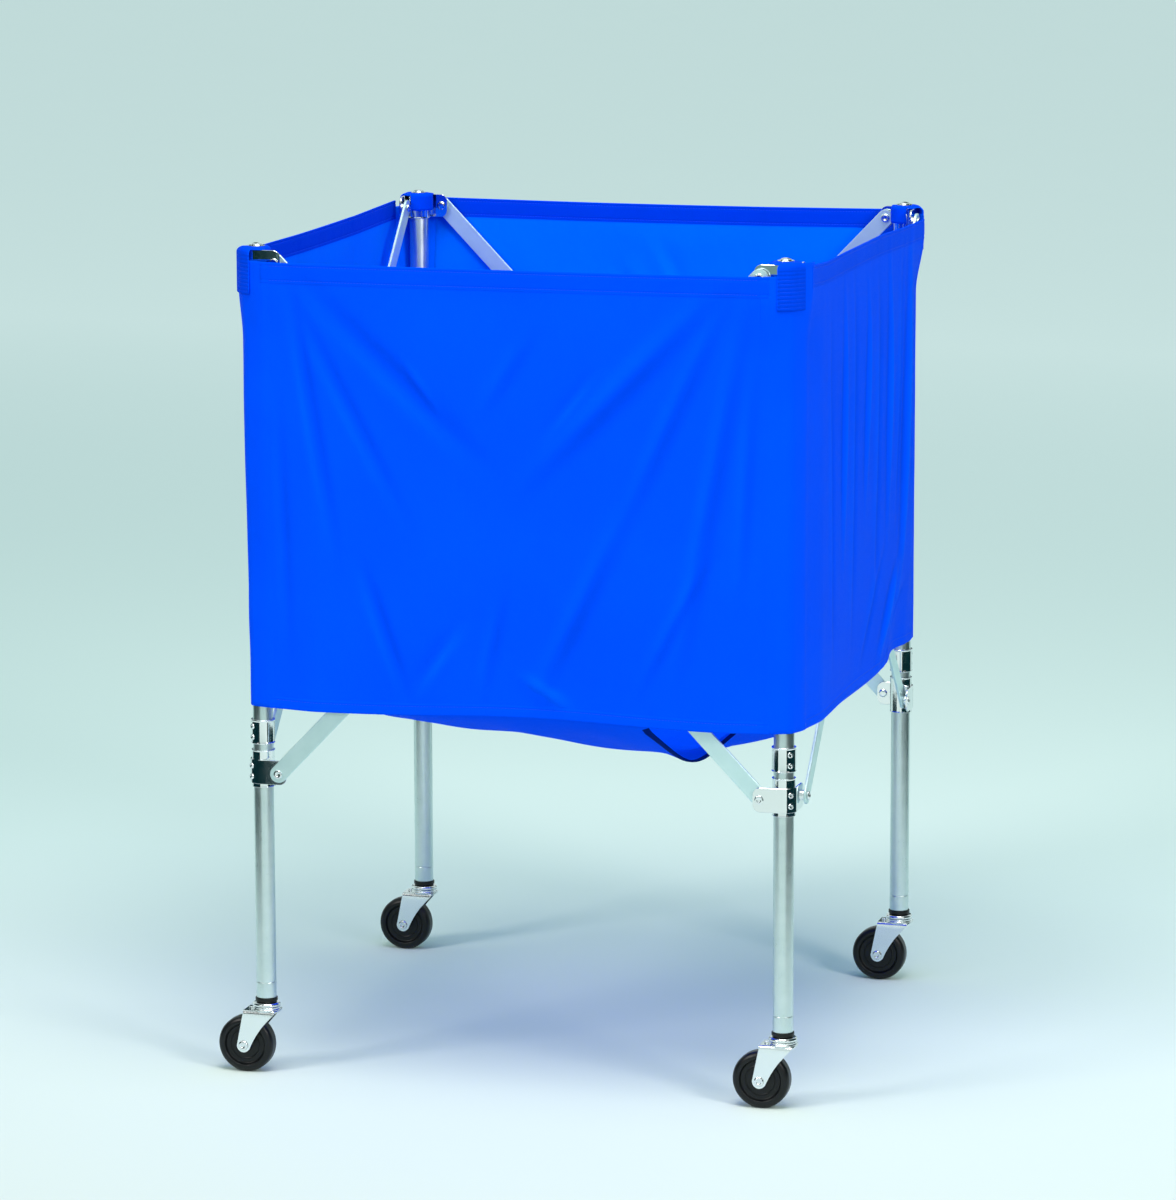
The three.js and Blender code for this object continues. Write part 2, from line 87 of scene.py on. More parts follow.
# A height in the frame, in millimetres above the lower ends of the tubes.
def heightIn(z):
    return (z - cartCentre[2]) / mm


jointPlace = {joint["name"]: joint["pos_m"] for joint in frame["joints"]}
pivots = {
    "reach": (jointPlace["fold"][0] - middleOf("leg_tube_front_left").x) / mm,
    "top": heightIn(jointPlace["fold"][2]),
    "low": heightIn(jointPlace["slide_front_left"][2]),
}
bagBottom = heightIn(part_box("bag_corner_front_left")[0].z)
wallTop = {side: heightIn(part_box(f"bag_wall_{side}")[1].z) for side in sides}
strapTop = heightIn(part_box("bag_corner_front_left")[1].z)

making = {
    "curveShare": 0.45,  # of an edge, that a rounded corner may take
    "cutShare": 0.6,  # of half a strip's width, that a chamfer may take
    "weld": 2e-6,  # metres between points that become one
    "sliver": 1e-7,  # metres below which an edge is dissolved
    "sharp": 38,  # degrees above which an edge stays sharp
    "clothSharp": 60,
}


# A smooth step from 0 at low to 1 at high: t^2 (3 - 2t).
def softStep(x, low, high):
    t = np.clip((x - low) / (high - low), 0, 1)
    return t * t * (3 - 2 * t)


# Distances along a line of points, from 0.
def lengthsAlong(line):
    return np.concatenate([[0], np.cumsum(np.linalg.norm(np.diff(line, axis=0), axis=1))])


# A curve from start to end that bends towards a corner: (1-t)^2 start + 2t(1-t) corner + t^2 end.
def cornerCurve(start, corner, end, steps):
    t = np.linspace(0, 1, steps + 1)[:, None]
    return (1 - t) ** 2 * start + 2 * t * (1 - t) * corner + t ** 2 * end


# A shape is a pair: points, an N x 3 array, and a list of face arrays. In a grid of rows x columns x 3 points
# each face joins four neighbours: (r, c), (r, c+1), (r+1, c+1), (r+1, c). A closed grid's last column meets
# its first.
def grid(points, closedAcross=False):
    rows, columns = points.shape[:2]
    r = np.arange(rows - 1)[:, None]
    c = np.arange(columns if closedAcross else columns - 1)[None, :]
    nextRow, nextColumn = r + 1, (c + 1) % columns
    faces = np.stack([
        r * columns + c,
        r * columns + nextColumn,
        nextRow * columns + nextColumn,
        nextRow * columns + c,
    ], axis=-1)
    return points.reshape(-1, 3), [faces.reshape(-1, 4)]


# A section carried along a path: point = origin + sideways * a + upwards * b for each (a, b) of the section
# at that station. A face closes each end.
def swept(origins, sideways, upwards, sections):
    points = (
        origins[:, None, :]
        + sideways[:, None, :] * sections[..., 0:1]
        + upwards[:, None, :] * sections[..., 1:2]
    )
    flat, faces = grid(points, closedAcross=True)
    stations, count = points.shape[:2]
    faces.append(np.arange(count)[None, ::-1])
    faces.append((np.arange(count) + (stations - 1) * count)[None, :])
    return flat, faces


# A flat strip's section is a rectangle with its four corners cut off. These are the side of the thickness and
# the edge of the width that each of its eight points lies on, and which way the cut moves it.
sectionSide = np.array([1, 1, 1, -1, -1, -1, -1, 1])
sectionEdge = np.array([-1, 1, 1, 1, 1, -1, -1, -1])
cutFromSide = np.array([0, 0, -1, 1, 0, 0, 1, -1])
cutFromEdge = np.array([1, -1, 0, 0, -1, 1, 0, 0])


# Sections for half a thickness and, at each station, half a width: side * thick + cut and edge * wide + cut.
def stripSections(thick, wide, edge):
    wide = wide[:, None]
    cut = np.minimum(edge, wide * making["cutShare"])
    return np.stack([
        sectionSide * thick + cutFromSide * cut,
        sectionEdge * wide + cutFromEdge * cut,
    ], axis=-1)


# A lathe about Z: (radius, height) becomes (radius cos t, radius sin t, height) for t round the circle.
def turned(profile, segments=48):
    profile = np.array(profile, float)
    t = np.linspace(0, 2 * pi, segments, endpoint=False)
    radius, height = profile[:, 0:1], profile[:, 1:2]
    points = np.stack([radius * np.cos(t), radius * np.sin(t), height + 0 * t], axis=-1)
    return grid(points, closedAcross=True)


# Each inner corner of a profile becomes a curve that starts and ends a radius away from it on its two edges.
def rounded(profile, radius, steps=4):
    profile = [np.array(p, float) for p in profile]
    result = [profile[0]]
    for before, corner, after in zip(profile, profile[1:], profile[2:]):
        back, ahead = before - corner, after - corner
        backLength, aheadLength = np.linalg.norm(back), np.linalg.norm(ahead)
        reach = min(radius, backLength * making["curveShare"], aheadLength * making["curveShare"])
        start = corner + back / max(backLength, 1e-9) * reach
        end = corner + ahead / max(aheadLength, 1e-9) * reach
        result.extend(cornerCurve(start, corner, end, steps))
    result.append(profile[-1])
    return np.array(result)


# A profile's mirror image about a height, from its last point to its first.
def mirrored(profile, height=0):
    return [(radius, 2 * height - z) for radius, z in profile[::-1]]


# A cap from (radius, base) up to (0, base + height): radius cos a, height sin a.
def dome(radius, base, height, steps):
    a = np.linspace(0, pi / 2, steps + 1)
    return np.stack([radius * np.cos(a), base + height * np.sin(a)], axis=-1)


# The shape turned about Z by an angle, then moved.
def moved(shape, offset=(0, 0, 0), turn=0.0):
    points, faces = shape
    c, s = cos(turn), sin(turn)
    spin = np.array([[c, s, 0], [-s, c, 0], [0, 0, 1]])
    return points @ spin + np.array(offset, float), faces


# Z of the shape points along a direction, and its origin goes to a place.
def aimed(shape, direction, place):
    matrix = np.array(Vector(direction).to_track_quat("Z", "Y").to_matrix())
    return shape[0] @ matrix.T + np.array(place, float), shape[1]


def joinedShapes(shapes):
    points, faces, start = [], [], 0
    for shapePoints, shapeFaces in shapes:
        points.append(shapePoints)
        faces.extend(block + start for block in shapeFaces)
        start += len(shapePoints)
    return np.concatenate(points), faces


# From the cart's own axes, turned by quarter turns about the cart's middle, into the frame, in metres.
def placed(shape, quarter):
    points, faces = moved(shape, turn=quarter * pi / 2)
    return points * mm + cartCentre, faces


# From a leg's own axes, with the outer corner to -X and -Y, into the frame.
def onLeg(shape, corner):
    return placed(moved(shape, (-half, -half, 0)), corners.index(corner))


# Castors keep their own direction: moved to the leg without a turn.
def onCastor(shape, corner):
    middle = middleOf(f"leg_tube_{corner}")
    return shape[0] * mm + np.array([middle.x, middle.y, cartCentre[2]]), shape[1]


def newMesh(name, shape, material):
    points, faces = shape
    mesh = bpy.data.meshes.new(name)
    mesh.from_pydata(points.tolist(), [], [face for block in faces for face in block.tolist()])
    mesh.materials.append(material)
    return mesh


def addObject(name, data):
    thing = bpy.data.objects.new(name, data)
    bpy.context.scene.collection.objects.link(thing)
    return thing


# A closed shape as a piece that rides a body, with its doubles merged and its normals pointing out. It stands
# for the CAD node, where one is given.
def makePiece(name, shape, material, body, slot, node=None, sharp=making["sharp"], uv=None, paintedShadeTone=None):
    mesh = newMesh(name, shape, material)
    if uv is not None:
        layer = mesh.uv_layers.new(name="cloth")
        loops = np.empty(len(mesh.loops), np.int32)
        mesh.loops.foreach_get("vertex_index", loops)
        layer.data.foreach_set("uv", uv[loops].astype(np.float32).ravel())
    # The attribute holds painted shade and painted light, which the cloth material reads.
    if paintedShadeTone is not None:
        mesh.attributes.new("paintedShadeTone", "FLOAT", "POINT").data.foreach_set("value", paintedShadeTone.astype(np.float32))
    work = bmesh.new()
    work.from_mesh(mesh)
    bmesh.ops.remove_doubles(work, verts=work.verts, dist=making["weld"])
    bmesh.ops.dissolve_degenerate(work, edges=work.edges, dist=making["sliver"])
    bmesh.ops.recalc_face_normals(work, faces=work.faces)
    work.to_mesh(mesh)
    work.free()
    mesh.shade_smooth()
    mesh.set_sharp_from_angle(angle=radians(sharp))
    piece = addObject(name, mesh)
    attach(piece, body)
    if node:
        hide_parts(node)
    return piece


# One copy of a piece at each leg.
def atEachLeg(name, shape, material, body, slot, node=None, place=onLeg, sharp=making["sharp"]):
    for corner in corners:
        makePiece(
            f"{name}_{corner}", place(shape, corner), material, f"{body}_{corner}", slot,
            node and f"{node}_{corner}", sharp,
        )


# Materials. Each is a small node tree, and its patterns are in metres on Object coordinates or UV.
class Nodes:
    def __init__(self, name):
        self.material = bpy.data.materials.new(name)
        self.material.use_nodes = True
        self.tree = self.material.node_tree
        self.shader = self.tree.nodes["Principled BSDF"]

    def add(self, kind, **settings):
        node = self.tree.nodes.new(kind)
        for key, value in settings.items():
            setattr(node, key, value)
        return node

    def link(self, start, end):
        self.tree.links.new(start, end)

    def coords(self, source="Object", scale=(1, 1, 1)):
        place = self.add("ShaderNodeTexCoord")
        mapping = self.add("ShaderNodeMapping")
        mapping.inputs["Scale"].default_value = scale
        self.link(place.outputs[source], mapping.inputs["Vector"])
        return mapping.outputs["Vector"]

    def noise(self, vector, scale, detail=3.0, rough=0.5):
        node = self.add("ShaderNodeTexNoise")
        node.inputs["Scale"].default_value = scale
        node.inputs["Detail"].default_value = detail
        node.inputs["Roughness"].default_value = rough
        self.link(vector, node.inputs["Vector"])
        return node.outputs["Fac"]

    def math(self, operation, first, second=None):
        node = self.add("ShaderNodeMath", operation=operation)
        for socket, value in zip(node.inputs, (first, second)):
            if isinstance(value, (int, float)):
                socket.default_value = value
            elif value is not None:
                self.link(value, socket)
        return node.outputs[0]

    def remap(self, value, low, high, outLow, outHigh):
        node = self.add("ShaderNodeMapRange")
        for key, number in zip(("From Min", "From Max", "To Min", "To Max"), (low, high, outLow, outHigh)):
            node.inputs[key].default_value = number
        self.link(value, node.inputs["Value"])
        return node.outputs["Result"]

    # A noise's usual span, 0.3 to 0.7, spread from outLow to outHigh.
    def spread(self, noise, outLow, outHigh):
        return self.remap(noise, 0.3, 0.7, outLow, outHigh)

    def wave(self, value, length):
        return self.math("SINE", self.math("MULTIPLY", value, 2 * pi / length))

    def mixColour(self, factor, first, second):
        node = self.add("ShaderNodeMix", data_type="RGBA")
        self.link(factor, node.inputs["Factor"])
        for socket, colour in zip((node.inputs["A"], node.inputs["B"]), (first, second)):
            if isinstance(colour, tuple):
                socket.default_value = (*colour, 1)
            else:
                self.link(colour, socket)
        return node.outputs["Result"]

    def bump(self, height, distance, strength=1.0, normal=None):
        node = self.add("ShaderNodeBump")
        node.inputs["Distance"].default_value = distance
        node.inputs["Strength"].default_value = strength
        self.link(height, node.inputs["Height"])
        if normal is not None:
            self.link(normal, node.inputs["Normal"])
        return node.outputs["Normal"]

    def set(self, **sockets):
        for key, value in sockets.items():
            socket = self.shader.inputs[key.replace("_", " ")]
            if hasattr(value, "is_linked"):
                self.link(value, socket)
            elif isinstance(value, tuple) and len(value) == 3:
                socket.default_value = (*value, 1)
            else:
                socket.default_value = value


# Satin anodised tube: fine drawing lines along Z, slow changes of roughness and a few rubbed marks.
tubeFinish = {
    "dark": (0.60, 0.71, 0.71), "light": (0.68, 0.78, 0.78), "rubbed": (0.54, 0.63, 0.64),
    "rough": (0.27, 0.35), "lines": 2600, "stretch": (1, 1, 0.012), "relief": 0.00003,
}


def tubeMaterial():
    nodes = Nodes("satinAluminiumTube")
    fine = nodes.noise(nodes.coords(scale=tubeFinish["stretch"]), tubeFinish["lines"], 4)
    slow = nodes.noise(nodes.coords(), 45, 4, 0.6)
    marks = nodes.noise(nodes.coords(scale=(1, 1, 6)), 90, 6, 0.75)
    colour = nodes.mixColour(nodes.spread(slow, 0, 1), tubeFinish["dark"], tubeFinish["light"])
    rubbed = nodes.remap(marks, 0.66, 0.74, 0, 1)
    rough = nodes.spread(fine, *tubeFinish["rough"])
    nodes.set(
        Base_Color=nodes.mixColour(rubbed, colour, tubeFinish["rubbed"]),
        Metallic=1.0,
        Roughness=nodes.math("ADD", rough, nodes.spread(slow, -0.02, 0.04)),
        Normal=nodes.bump(fine, tubeFinish["relief"], 0.6),
    )
    return nodes.material


# Brushed flat bar: lines along U of its own UV, with faint handling marks.
barFinish = {
    "dark": (0.60, 0.80, 0.81), "light": (0.68, 0.87, 0.88), "metal": 0.72, "rough": (0.30, 0.42),
    "stretch": (12, 2200, 1), "relief": 0.00004,
}


def barMaterial():
    nodes = Nodes("brushedBar")
    fine = nodes.noise(nodes.coords("UV", barFinish["stretch"]), 1.0, 5, 0.6)
    slow = nodes.noise(nodes.coords(), 30, 4, 0.6)
    nodes.set(
        Base_Color=nodes.mixColour(nodes.spread(slow, 0, 1), barFinish["dark"], barFinish["light"]),
        Metallic=barFinish["metal"],
        Roughness=nodes.spread(fine, *barFinish["rough"]),
        Normal=nodes.bump(fine, barFinish["relief"], 0.5),
    )
    return nodes.material


# Bright plated sheet: nearly a mirror, with slight waves, specks of wear and fine scratches.
steelFinish = {"tint": (0.83, 0.86, 0.87), "worn": (0.62, 0.66, 0.68), "dulled": 0.10, "waves": 0.00012}


def steelMaterial(name, low, high, tint=steelFinish["tint"]):
    nodes = Nodes(name)
    wave = nodes.noise(nodes.coords(), 160, 2)
    specks = nodes.noise(nodes.coords(), 900, 5, 0.7)
    scratch = nodes.noise(nodes.coords(scale=(1, 1, 14)), 420, 5, 0.7)
    dull = nodes.math("MULTIPLY", nodes.remap(specks, 0.55, 0.72, 0, 1), steelFinish["dulled"])
    nodes.set(
        Base_Color=nodes.mixColour(nodes.remap(specks, 0.62, 0.75, 0, 1), tint, steelFinish["worn"]),
        Metallic=1.0,
        Roughness=nodes.math("ADD", nodes.remap(scratch, 0.35, 0.7, low, high), dull),
        Normal=nodes.bump(wave, steelFinish["waves"], 0.35),
    )
    return nodes.material


# Moulded black: a fine grain, and small scuffs that are greyer and duller.
plasticFinish = {"grain": 1400, "shine": 0.3, "paler": 1.6, "lift": 0.002, "dulled": 0.12, "relief": 0.00005}


def plasticMaterial(name, colour, low, high, grain=plasticFinish["grain"]):
    nodes = Nodes(name)
    fine = nodes.noise(nodes.coords(), grain, 3)
    worn = nodes.remap(nodes.noise(nodes.coords(), 70, 6, 0.75), 0.56, 0.72, 0, 1)
    scuffed = tuple(channel * plasticFinish["paler"] + plasticFinish["lift"] for channel in colour)
    dull = nodes.math("MULTIPLY", worn, plasticFinish["dulled"])
    nodes.set(
        Base_Color=nodes.mixColour(worn, colour, scuffed),
        Specular_IOR_Level=plasticFinish["shine"],
        Roughness=nodes.math("ADD", nodes.spread(fine, low, high), dull),
        Normal=nodes.bump(fine, plasticFinish["relief"], 0.5),
    )
    return nodes.material


# Coated woven cloth: two sets of threads, sin(U) sin(V), over fine and coarse creases. The sheet's attribute
# holds painted shade and painted light: it goes from the dark colour at 0 through the plain one at 0.5 to the
# light one at 1, and a slow random change of tone is added to it. Ribs are those of a webbing.
cloth = {
    "dark": (0.0, 0.022, 0.44), "plain": (0.0, 0.074, 0.97), "light": (0.0, 0.155, 1.0),
    "rough": (0.57, 0.68), "thread": 0.00055, "ior": 1.07, "specular": 0.5, "glint": (0.0, 0.25, 1.0),
}
# The tape's colours are dark: partly the binding's own navy, partly painted shade for its downward face.
tapeCloth = {"dark": (0.0, 0.012, 0.15), "plain": (0.0, 0.020, 0.24), "light": (0.0, 0.03, 0.36)}


def clothMaterial(name, colours, threadSize=cloth["thread"], ribs=0.0):
    nodes = Nodes(name)
    split = nodes.add("ShaderNodeSeparateXYZ")
    nodes.link(nodes.coords("UV"), split.inputs[0])
    across, along = nodes.wave(split.outputs[0], threadSize), nodes.wave(split.outputs[1], threadSize)
    slow = nodes.noise(nodes.coords(), 7, 4, 0.55)
    crease = nodes.noise(nodes.coords(scale=(1, 1, 0.4)), 30, 5, 0.6)
    fine = nodes.noise(nodes.coords(), 210, 4, 0.6)
    normal = nodes.bump(nodes.math("MULTIPLY", across, along), threadSize * 0.16, 0.35)
    if ribs:
        normal = nodes.bump(nodes.wave(split.outputs[1], ribs), ribs * 0.08, 0.5, normal)
    normal = nodes.bump(fine, 0.0004, 0.12, normal)
    normal = nodes.bump(crease, 0.005, 0.25, normal)
    # Painted shade and painted light, read from the sheet's attribute.
    paintedShadeTone = nodes.add("ShaderNodeAttribute", attribute_name="paintedShadeTone").outputs["Fac"]
    paintedShadeTone = nodes.math("ADD", paintedShadeTone, nodes.spread(slow, -0.03, 0.03))
    colour = nodes.mixColour(nodes.remap(paintedShadeTone, 0, 0.5, 0, 1), colours["dark"], colours["plain"])
    nodes.set(
        Base_Color=nodes.mixColour(nodes.remap(paintedShadeTone, 0.5, 1, 0, 1), colour, colours["light"]),
        Roughness=nodes.spread(fine, *cloth["rough"]),
        IOR=cloth["ior"],
        Specular_IOR_Level=cloth["specular"],
        Specular_Tint=cloth["glint"],
        Normal=normal,
    )
    return nodes.material


# Sewing thread: a twist of fine strands, a little darker than the cloth.
threadFinish = {"dark": (0.0, 0.055, 0.72), "light": (0.0, 0.075, 0.92), "twist": 2400, "relief": 0.0001}


def threadMaterial():
    nodes = Nodes("sewingThread")
    twist = nodes.noise(nodes.coords(), threadFinish["twist"], 3)
    nodes.set(
        Base_Color=nodes.mixColour(nodes.spread(twist, 0, 1), threadFinish["dark"], threadFinish["light"]),
        Roughness=0.6,
        Specular_IOR_Level=0.25,
        Normal=nodes.bump(twist, threadFinish["relief"], 0.6),
    )
    return nodes.material


satin = tubeMaterial()
brushed = barMaterial()
bright = steelMaterial("brightPlate", 0.05, 0.12)
zinc = steelMaterial("zincPlate", 0.14, 0.24, (0.84, 0.88, 0.88))
rivetSteel = steelMaterial("rivetSteel", 0.10, 0.18, (0.80, 0.83, 0.84))
plugBlack = plasticMaterial("plugBlack", (0.004, 0.006, 0.006), 0.30, 0.44)
wheelBlack = plasticMaterial("wheelBlack", (0.004, 0.005, 0.006), 0.28, 0.40, 900)
blueCloth = clothMaterial("blueCloth", cloth)
webbing = clothMaterial("blueWebbing", cloth, 0.0012, 0.0042)
shadedNavyTape = clothMaterial("shadedNavyTape", tapeCloth, 0.0009)
thread = threadMaterial()
print("materials made")


# Camera, from a solve on the tube ends, the post tops and the pivots in the photograph. Angles are in
# radians, focal and imageHeight in the photograph's pixels, and sensor in millimetres.
view = {
    "place": (1.6237, -5.7944, 1.5697), "turn": 0.2717868, "tilt": 0.1767110, "roll": -0.002497,
    "focal": 5376.1, "imageHeight": 1200, "sensor": 36.0, "farClip": 200,
}


def addCamera():
    data = bpy.data.cameras.new("camera")
    data.sensor_fit = "VERTICAL"
    data.sensor_height = view["sensor"]
    data.lens = view["focal"] / view["imageHeight"] * view["sensor"]
    data.clip_end = view["farClip"]
    camera = addObject("camera", data)
    look = (
        Matrix.Rotation(view["turn"], 3, "Z")
        @ Matrix.Rotation(pi / 2 - view["tilt"], 3, "X")
        @ Matrix.Rotation(view["roll"], 3, "Z")
    )
    camera.location = view["place"]
    camera.rotation_euler = look.to_euler()
    bpy.context.scene.camera = camera


addCamera()
print("camera set")


# The floor's colours go from floorNear through floorMiddle to floorFar at these places along Y. Each lamp has
# a place, an aim, a diameter and its watts. Each card spans two angles, in degrees from the camera's
# direction.
stage = {
    "floorNear": (0.66, 0.71, 0.69), "floorMiddle": (0.86, 0.96, 0.94), "floorFar": (0.68, 0.78, 0.78),
    "glowFar": (0.36, 0.38, 0.37), "nearAt": -0.95, "middleAt": 0.75, "farAt": 6.0, "floorHalf": 60,
    "worldColour": (0.56, 1.0, 1.0), "worldStrength": 0.39, "seenColour": (0.63, 0.74, 0.74),
    "lampColour": (1.0, 0.97, 0.94), "cardRadius": 1.35, "cardFoot": 0.004, "cardHeight": 2.2,
    "cardDark": (0.003, 0.022, 0.026), "cardLight": (0.006, 0.032, 0.036),
}
lamps = {
    "topLamp": ((0.3, -1.0, 3.4), (0, 0, 0), 2.2, 72),
    "leftKey": ((-3.0, -3.6, 3.2), (0, 0, 0.6), 1.6, 98),
    "rightKey": ((3.7, -2.6, 2.6), (0.2, 0, 0.6), 1.4, 94),
}
cardSpans = [(25, 116), (-108, -40), (150, 163), (-163, -152)]


# A pale sweep whose colour changes slowly with Y. It glows a little far behind, where the lamps don't reach.
def addFloor():
    nodes = Nodes("paleFloor")
    split = nodes.add("ShaderNodeSeparateXYZ")
    nodes.link(nodes.coords(), split.inputs[0])
    y = split.outputs[1]
    near = nodes.remap(y, stage["nearAt"], stage["middleAt"], 0, 1)
    far = nodes.remap(y, stage["middleAt"], stage["farAt"], 0, 1)
    colour = nodes.mixColour(near, stage["floorNear"], stage["floorMiddle"])
    nodes.set(
        Base_Color=nodes.mixColour(far, colour, stage["floorFar"]),
        Roughness=nodes.spread(nodes.noise(nodes.coords(), 3, 3), 0.86, 0.94),
        Specular_IOR_Level=0.12,
        Emission_Color=stage["glowFar"],
        Emission_Strength=far,
    )
    reach = np.array([-stage["floorHalf"], stage["floorHalf"]])
    x, y = np.meshgrid(reach, reach)
    addObject("floor", newMesh("floor", grid(np.stack([x, y, 0 * x], axis=-1)), nodes.material))


# One even light from all round, and the sweep's colour where a camera or a reflection looks past the floor.
def addWorld():
    world = bpy.data.worlds.new("studio")
    bpy.context.scene.world = world
    world.use_nodes = True
    tree = world.node_tree
    background = tree.nodes["Background"]
    background.inputs["Color"].default_value = (*stage["worldColour"], 1)
    background.inputs["Strength"].default_value = stage["worldStrength"]
    seen = tree.nodes.new("ShaderNodeBackground")
    seen.inputs["Color"].default_value = (*stage["seenColour"], 1)
    path = tree.nodes.new("ShaderNodeLightPath")
    either = tree.nodes.new("ShaderNodeMath")
    either.operation = "MAXIMUM"
    mix = tree.nodes.new("ShaderNodeMixShader")
    for start, end in (
        (path.outputs["Is Camera Ray"], either.inputs[0]), (path.outputs["Is Glossy Ray"], either.inputs[1]),
        (either.outputs[0], mix.inputs[0]), (background.outputs[0], mix.inputs[1]),
        (seen.outputs[0], mix.inputs[2]), (mix.outputs[0], tree.nodes["World Output"].inputs[0]),
    ):
        tree.links.new(start, end)


def addLamp(name, place, aim, size, power):
    data = bpy.data.lights.new(name, "AREA")
    data.shape = "DISK"
    data.size = size
    data.energy = power
    data.color = stage["lampColour"]
    lamp = addObject(name, data)
    lamp.location = place
    lamp.rotation_euler = (Vector(aim) - Vector(place)).to_track_quat("-Z", "Y").to_euler()


# Dark upright cards round the cart, for the bright steel to reflect. Only reflections see them.
def addCards():
    nodes = Nodes("darkFelt")
    fibre = nodes.noise(nodes.coords(), 300, 3)
    nodes.set(
        Base_Color=nodes.mixColour(fibre, stage["cardDark"], stage["cardLight"]),
        Roughness=1.0,
        Specular_IOR_Level=0.0,
    )
    facing = atan2(view["place"][1], view["place"][0])
    heights = np.array([stage["cardFoot"], stage["cardHeight"]])
    shapes = []
    for start, end in cardSpans:
        angle, z = np.meshgrid(facing + np.radians(np.linspace(start, end, 5)), heights)
        x, y = stage["cardRadius"] * np.cos(angle), stage["cardRadius"] * np.sin(angle)
        shapes.append(grid(np.stack([x, y, z], axis=-1)))
    cards = addObject("cards", newMesh("cards", joinedShapes(shapes), nodes.material))
    cards.visible_camera = False
    cards.visible_diffuse = False
    cards.visible_shadow = False
    cards.visible_transmission = False


addFloor()
addWorld()
for name, (place, aim, size, power) in lamps.items():
    addLamp(name, place, aim, size, power)
addCards()
bpy.context.scene.view_settings.view_transform = "Standard"
print("stage set")


# Leg tubes, with the shallow ring that crimps each plug in place.
tube = {
    "wall": 1.2, "edge": 0.35, "crimpAt": 18.0, "crimpWidth": 1.6, "crimpDepth": 0.28, "crimpSteps": 9,
    "segments": 72, "sharp": 50,
}


# Outside up with a crimp r = R - d sin^2, over the rounded rim and down the bore.
def tubeShape():
    inner = tubeRadius - tube["wall"]
    t = np.linspace(0, 1, tube["crimpSteps"])
    crimp = np.stack([
        tubeRadius - tube["crimpDepth"] * np.sin(pi * t) ** 2,
        tube["crimpAt"] + tube["crimpWidth"] * (t - 0.5),
    ], axis=-1)
    outline = [(inner, 0), (tubeRadius, 0), *crimp, (tubeRadius, tubeLength), (inner, tubeLength), (inner, 0)]
    return turned(rounded(outline, tube["edge"], 3), tube["segments"])


atEachLeg("legTube", tubeShape(), satin, "leg", "tube_aluminium", "leg_tube", sharp=tube["sharp"])
print("leg tubes made")


# Brackets: a sleeve, a sheet bent round the leg's outer corner, and the rivets that hold the bars.
bracket = {
    "sheet": 2.0, "height": 27.0, "earTip": 7.0, "earCorner": 8.0, "earSteps": 12, "bendSteps": 17,
    "earRoot": 9.0, "bendStart": 8.0, "bore": tubeRadius + 0.4, "sleeveWall": 1.2, "bite": 0.2,
    "above": 23.5, "below": 18.0, "lip": 0.7, "lipOut": 0.4, "edge": 0.35, "segments": 64,
}
bracket["sleeve"] = bracket["bore"] + bracket["sleeveWall"]
bracket["inner"] = bracket["sleeve"] - bracket["bite"]
bracket["outer"] = bracket["inner"] + bracket["sheet"]
bar = {
    "width": 19.0, "thickness": 3.0, "standoff": 3.5, "edge": 0.5, "tipSteps": 14, "steps": 30, "sharp": 30,
}
bar["outerInside"] = bracket["outer"] + bar["standoff"]
bar["outerOutside"] = bar["outerInside"] + bar["thickness"]
bar["innerOutside"] = bracket["inner"] - bar["standoff"]
bar["innerInside"] = bar["innerOutside"] - bar["thickness"]
rivet = {
    "shank": 2.6, "head": 5.0, "headHeight": 2.0, "spacer": 5.5, "edge": 0.25, "segments": 32, "inset": 0.7,
    "stud": 3.2, "studHeight": 1.4, "studDepth": 0.6, "studSegments": 28, "rise": 6.0,
}

# A rivet's formed head, as shares of its radius and height: a rim, a ring shaped crown and a shallow dimple.
headShares = np.array([
    (1.0, 0.35), (0.93, 0.72), (0.78, 0.96), (0.62, 1.0),
    (0.48, 0.92), (0.38, 0.62), (0.25, 0.52), (0.0, 0.5),
])


def headShape(radius, base, height):
    return [(r * radius, base + h * height) for r, h in headShares]


# Half of the sheet's height at a distance from the leg: full, then the quarter circle of a corner.
def earHalfHeight(reach):
    corner = bracket["earCorner"]
    into = np.clip(reach - (pivots["reach"] + bracket["earTip"] - corner), 0, corner)
    return bracket["height"] / 2 - corner + np.sqrt(np.maximum(corner ** 2 - into ** 2, 0))


# The path runs in along -Y's ear, round the outer corner on a circle, and out along -X's ear. At each station
# the section is as high as the ear is there.
def bentSheet(height):
    ease = np.sin(np.linspace(0, pi / 2, bracket["earSteps"]))[::-1]
    tip = pivots["reach"] + bracket["earTip"] - bracket["earCorner"] + bracket["earCorner"] * ease
    straight = np.concatenate([tip, [pivots["reach"] - bracket["earRoot"], bracket["bendStart"]]])
    angle = np.linspace(0, pi / 2, bracket["bendSteps"])
    count = len(straight)
    radius = (bracket["inner"] + bracket["outer"]) / 2
    ear = np.stack([straight, np.full(count, -radius)], axis=-1)
    bend = np.stack([-np.sin(angle), -np.cos(angle)], axis=-1)
    path = np.concatenate([ear, bend * radius, ear[::-1, ::-1]])
    outward = np.concatenate([np.tile([0.0, -1.0], (count, 1)), bend, np.tile([-1.0, 0.0], (count, 1))])
    reach = np.concatenate([straight, np.zeros(len(angle)), straight[::-1]])
    origins = np.concatenate([path, np.full((len(path), 1), height)], axis=1)
    sideways = np.concatenate([outward, np.zeros((len(path), 1))], axis=1)
    upwards = np.tile([0.0, 0.0, 1.0], (len(path), 1))
    sections = stripSections(bracket["sheet"] / 2, earHalfHeight(reach), bracket["edge"])
    return swept(origins, sideways, upwards, sections)


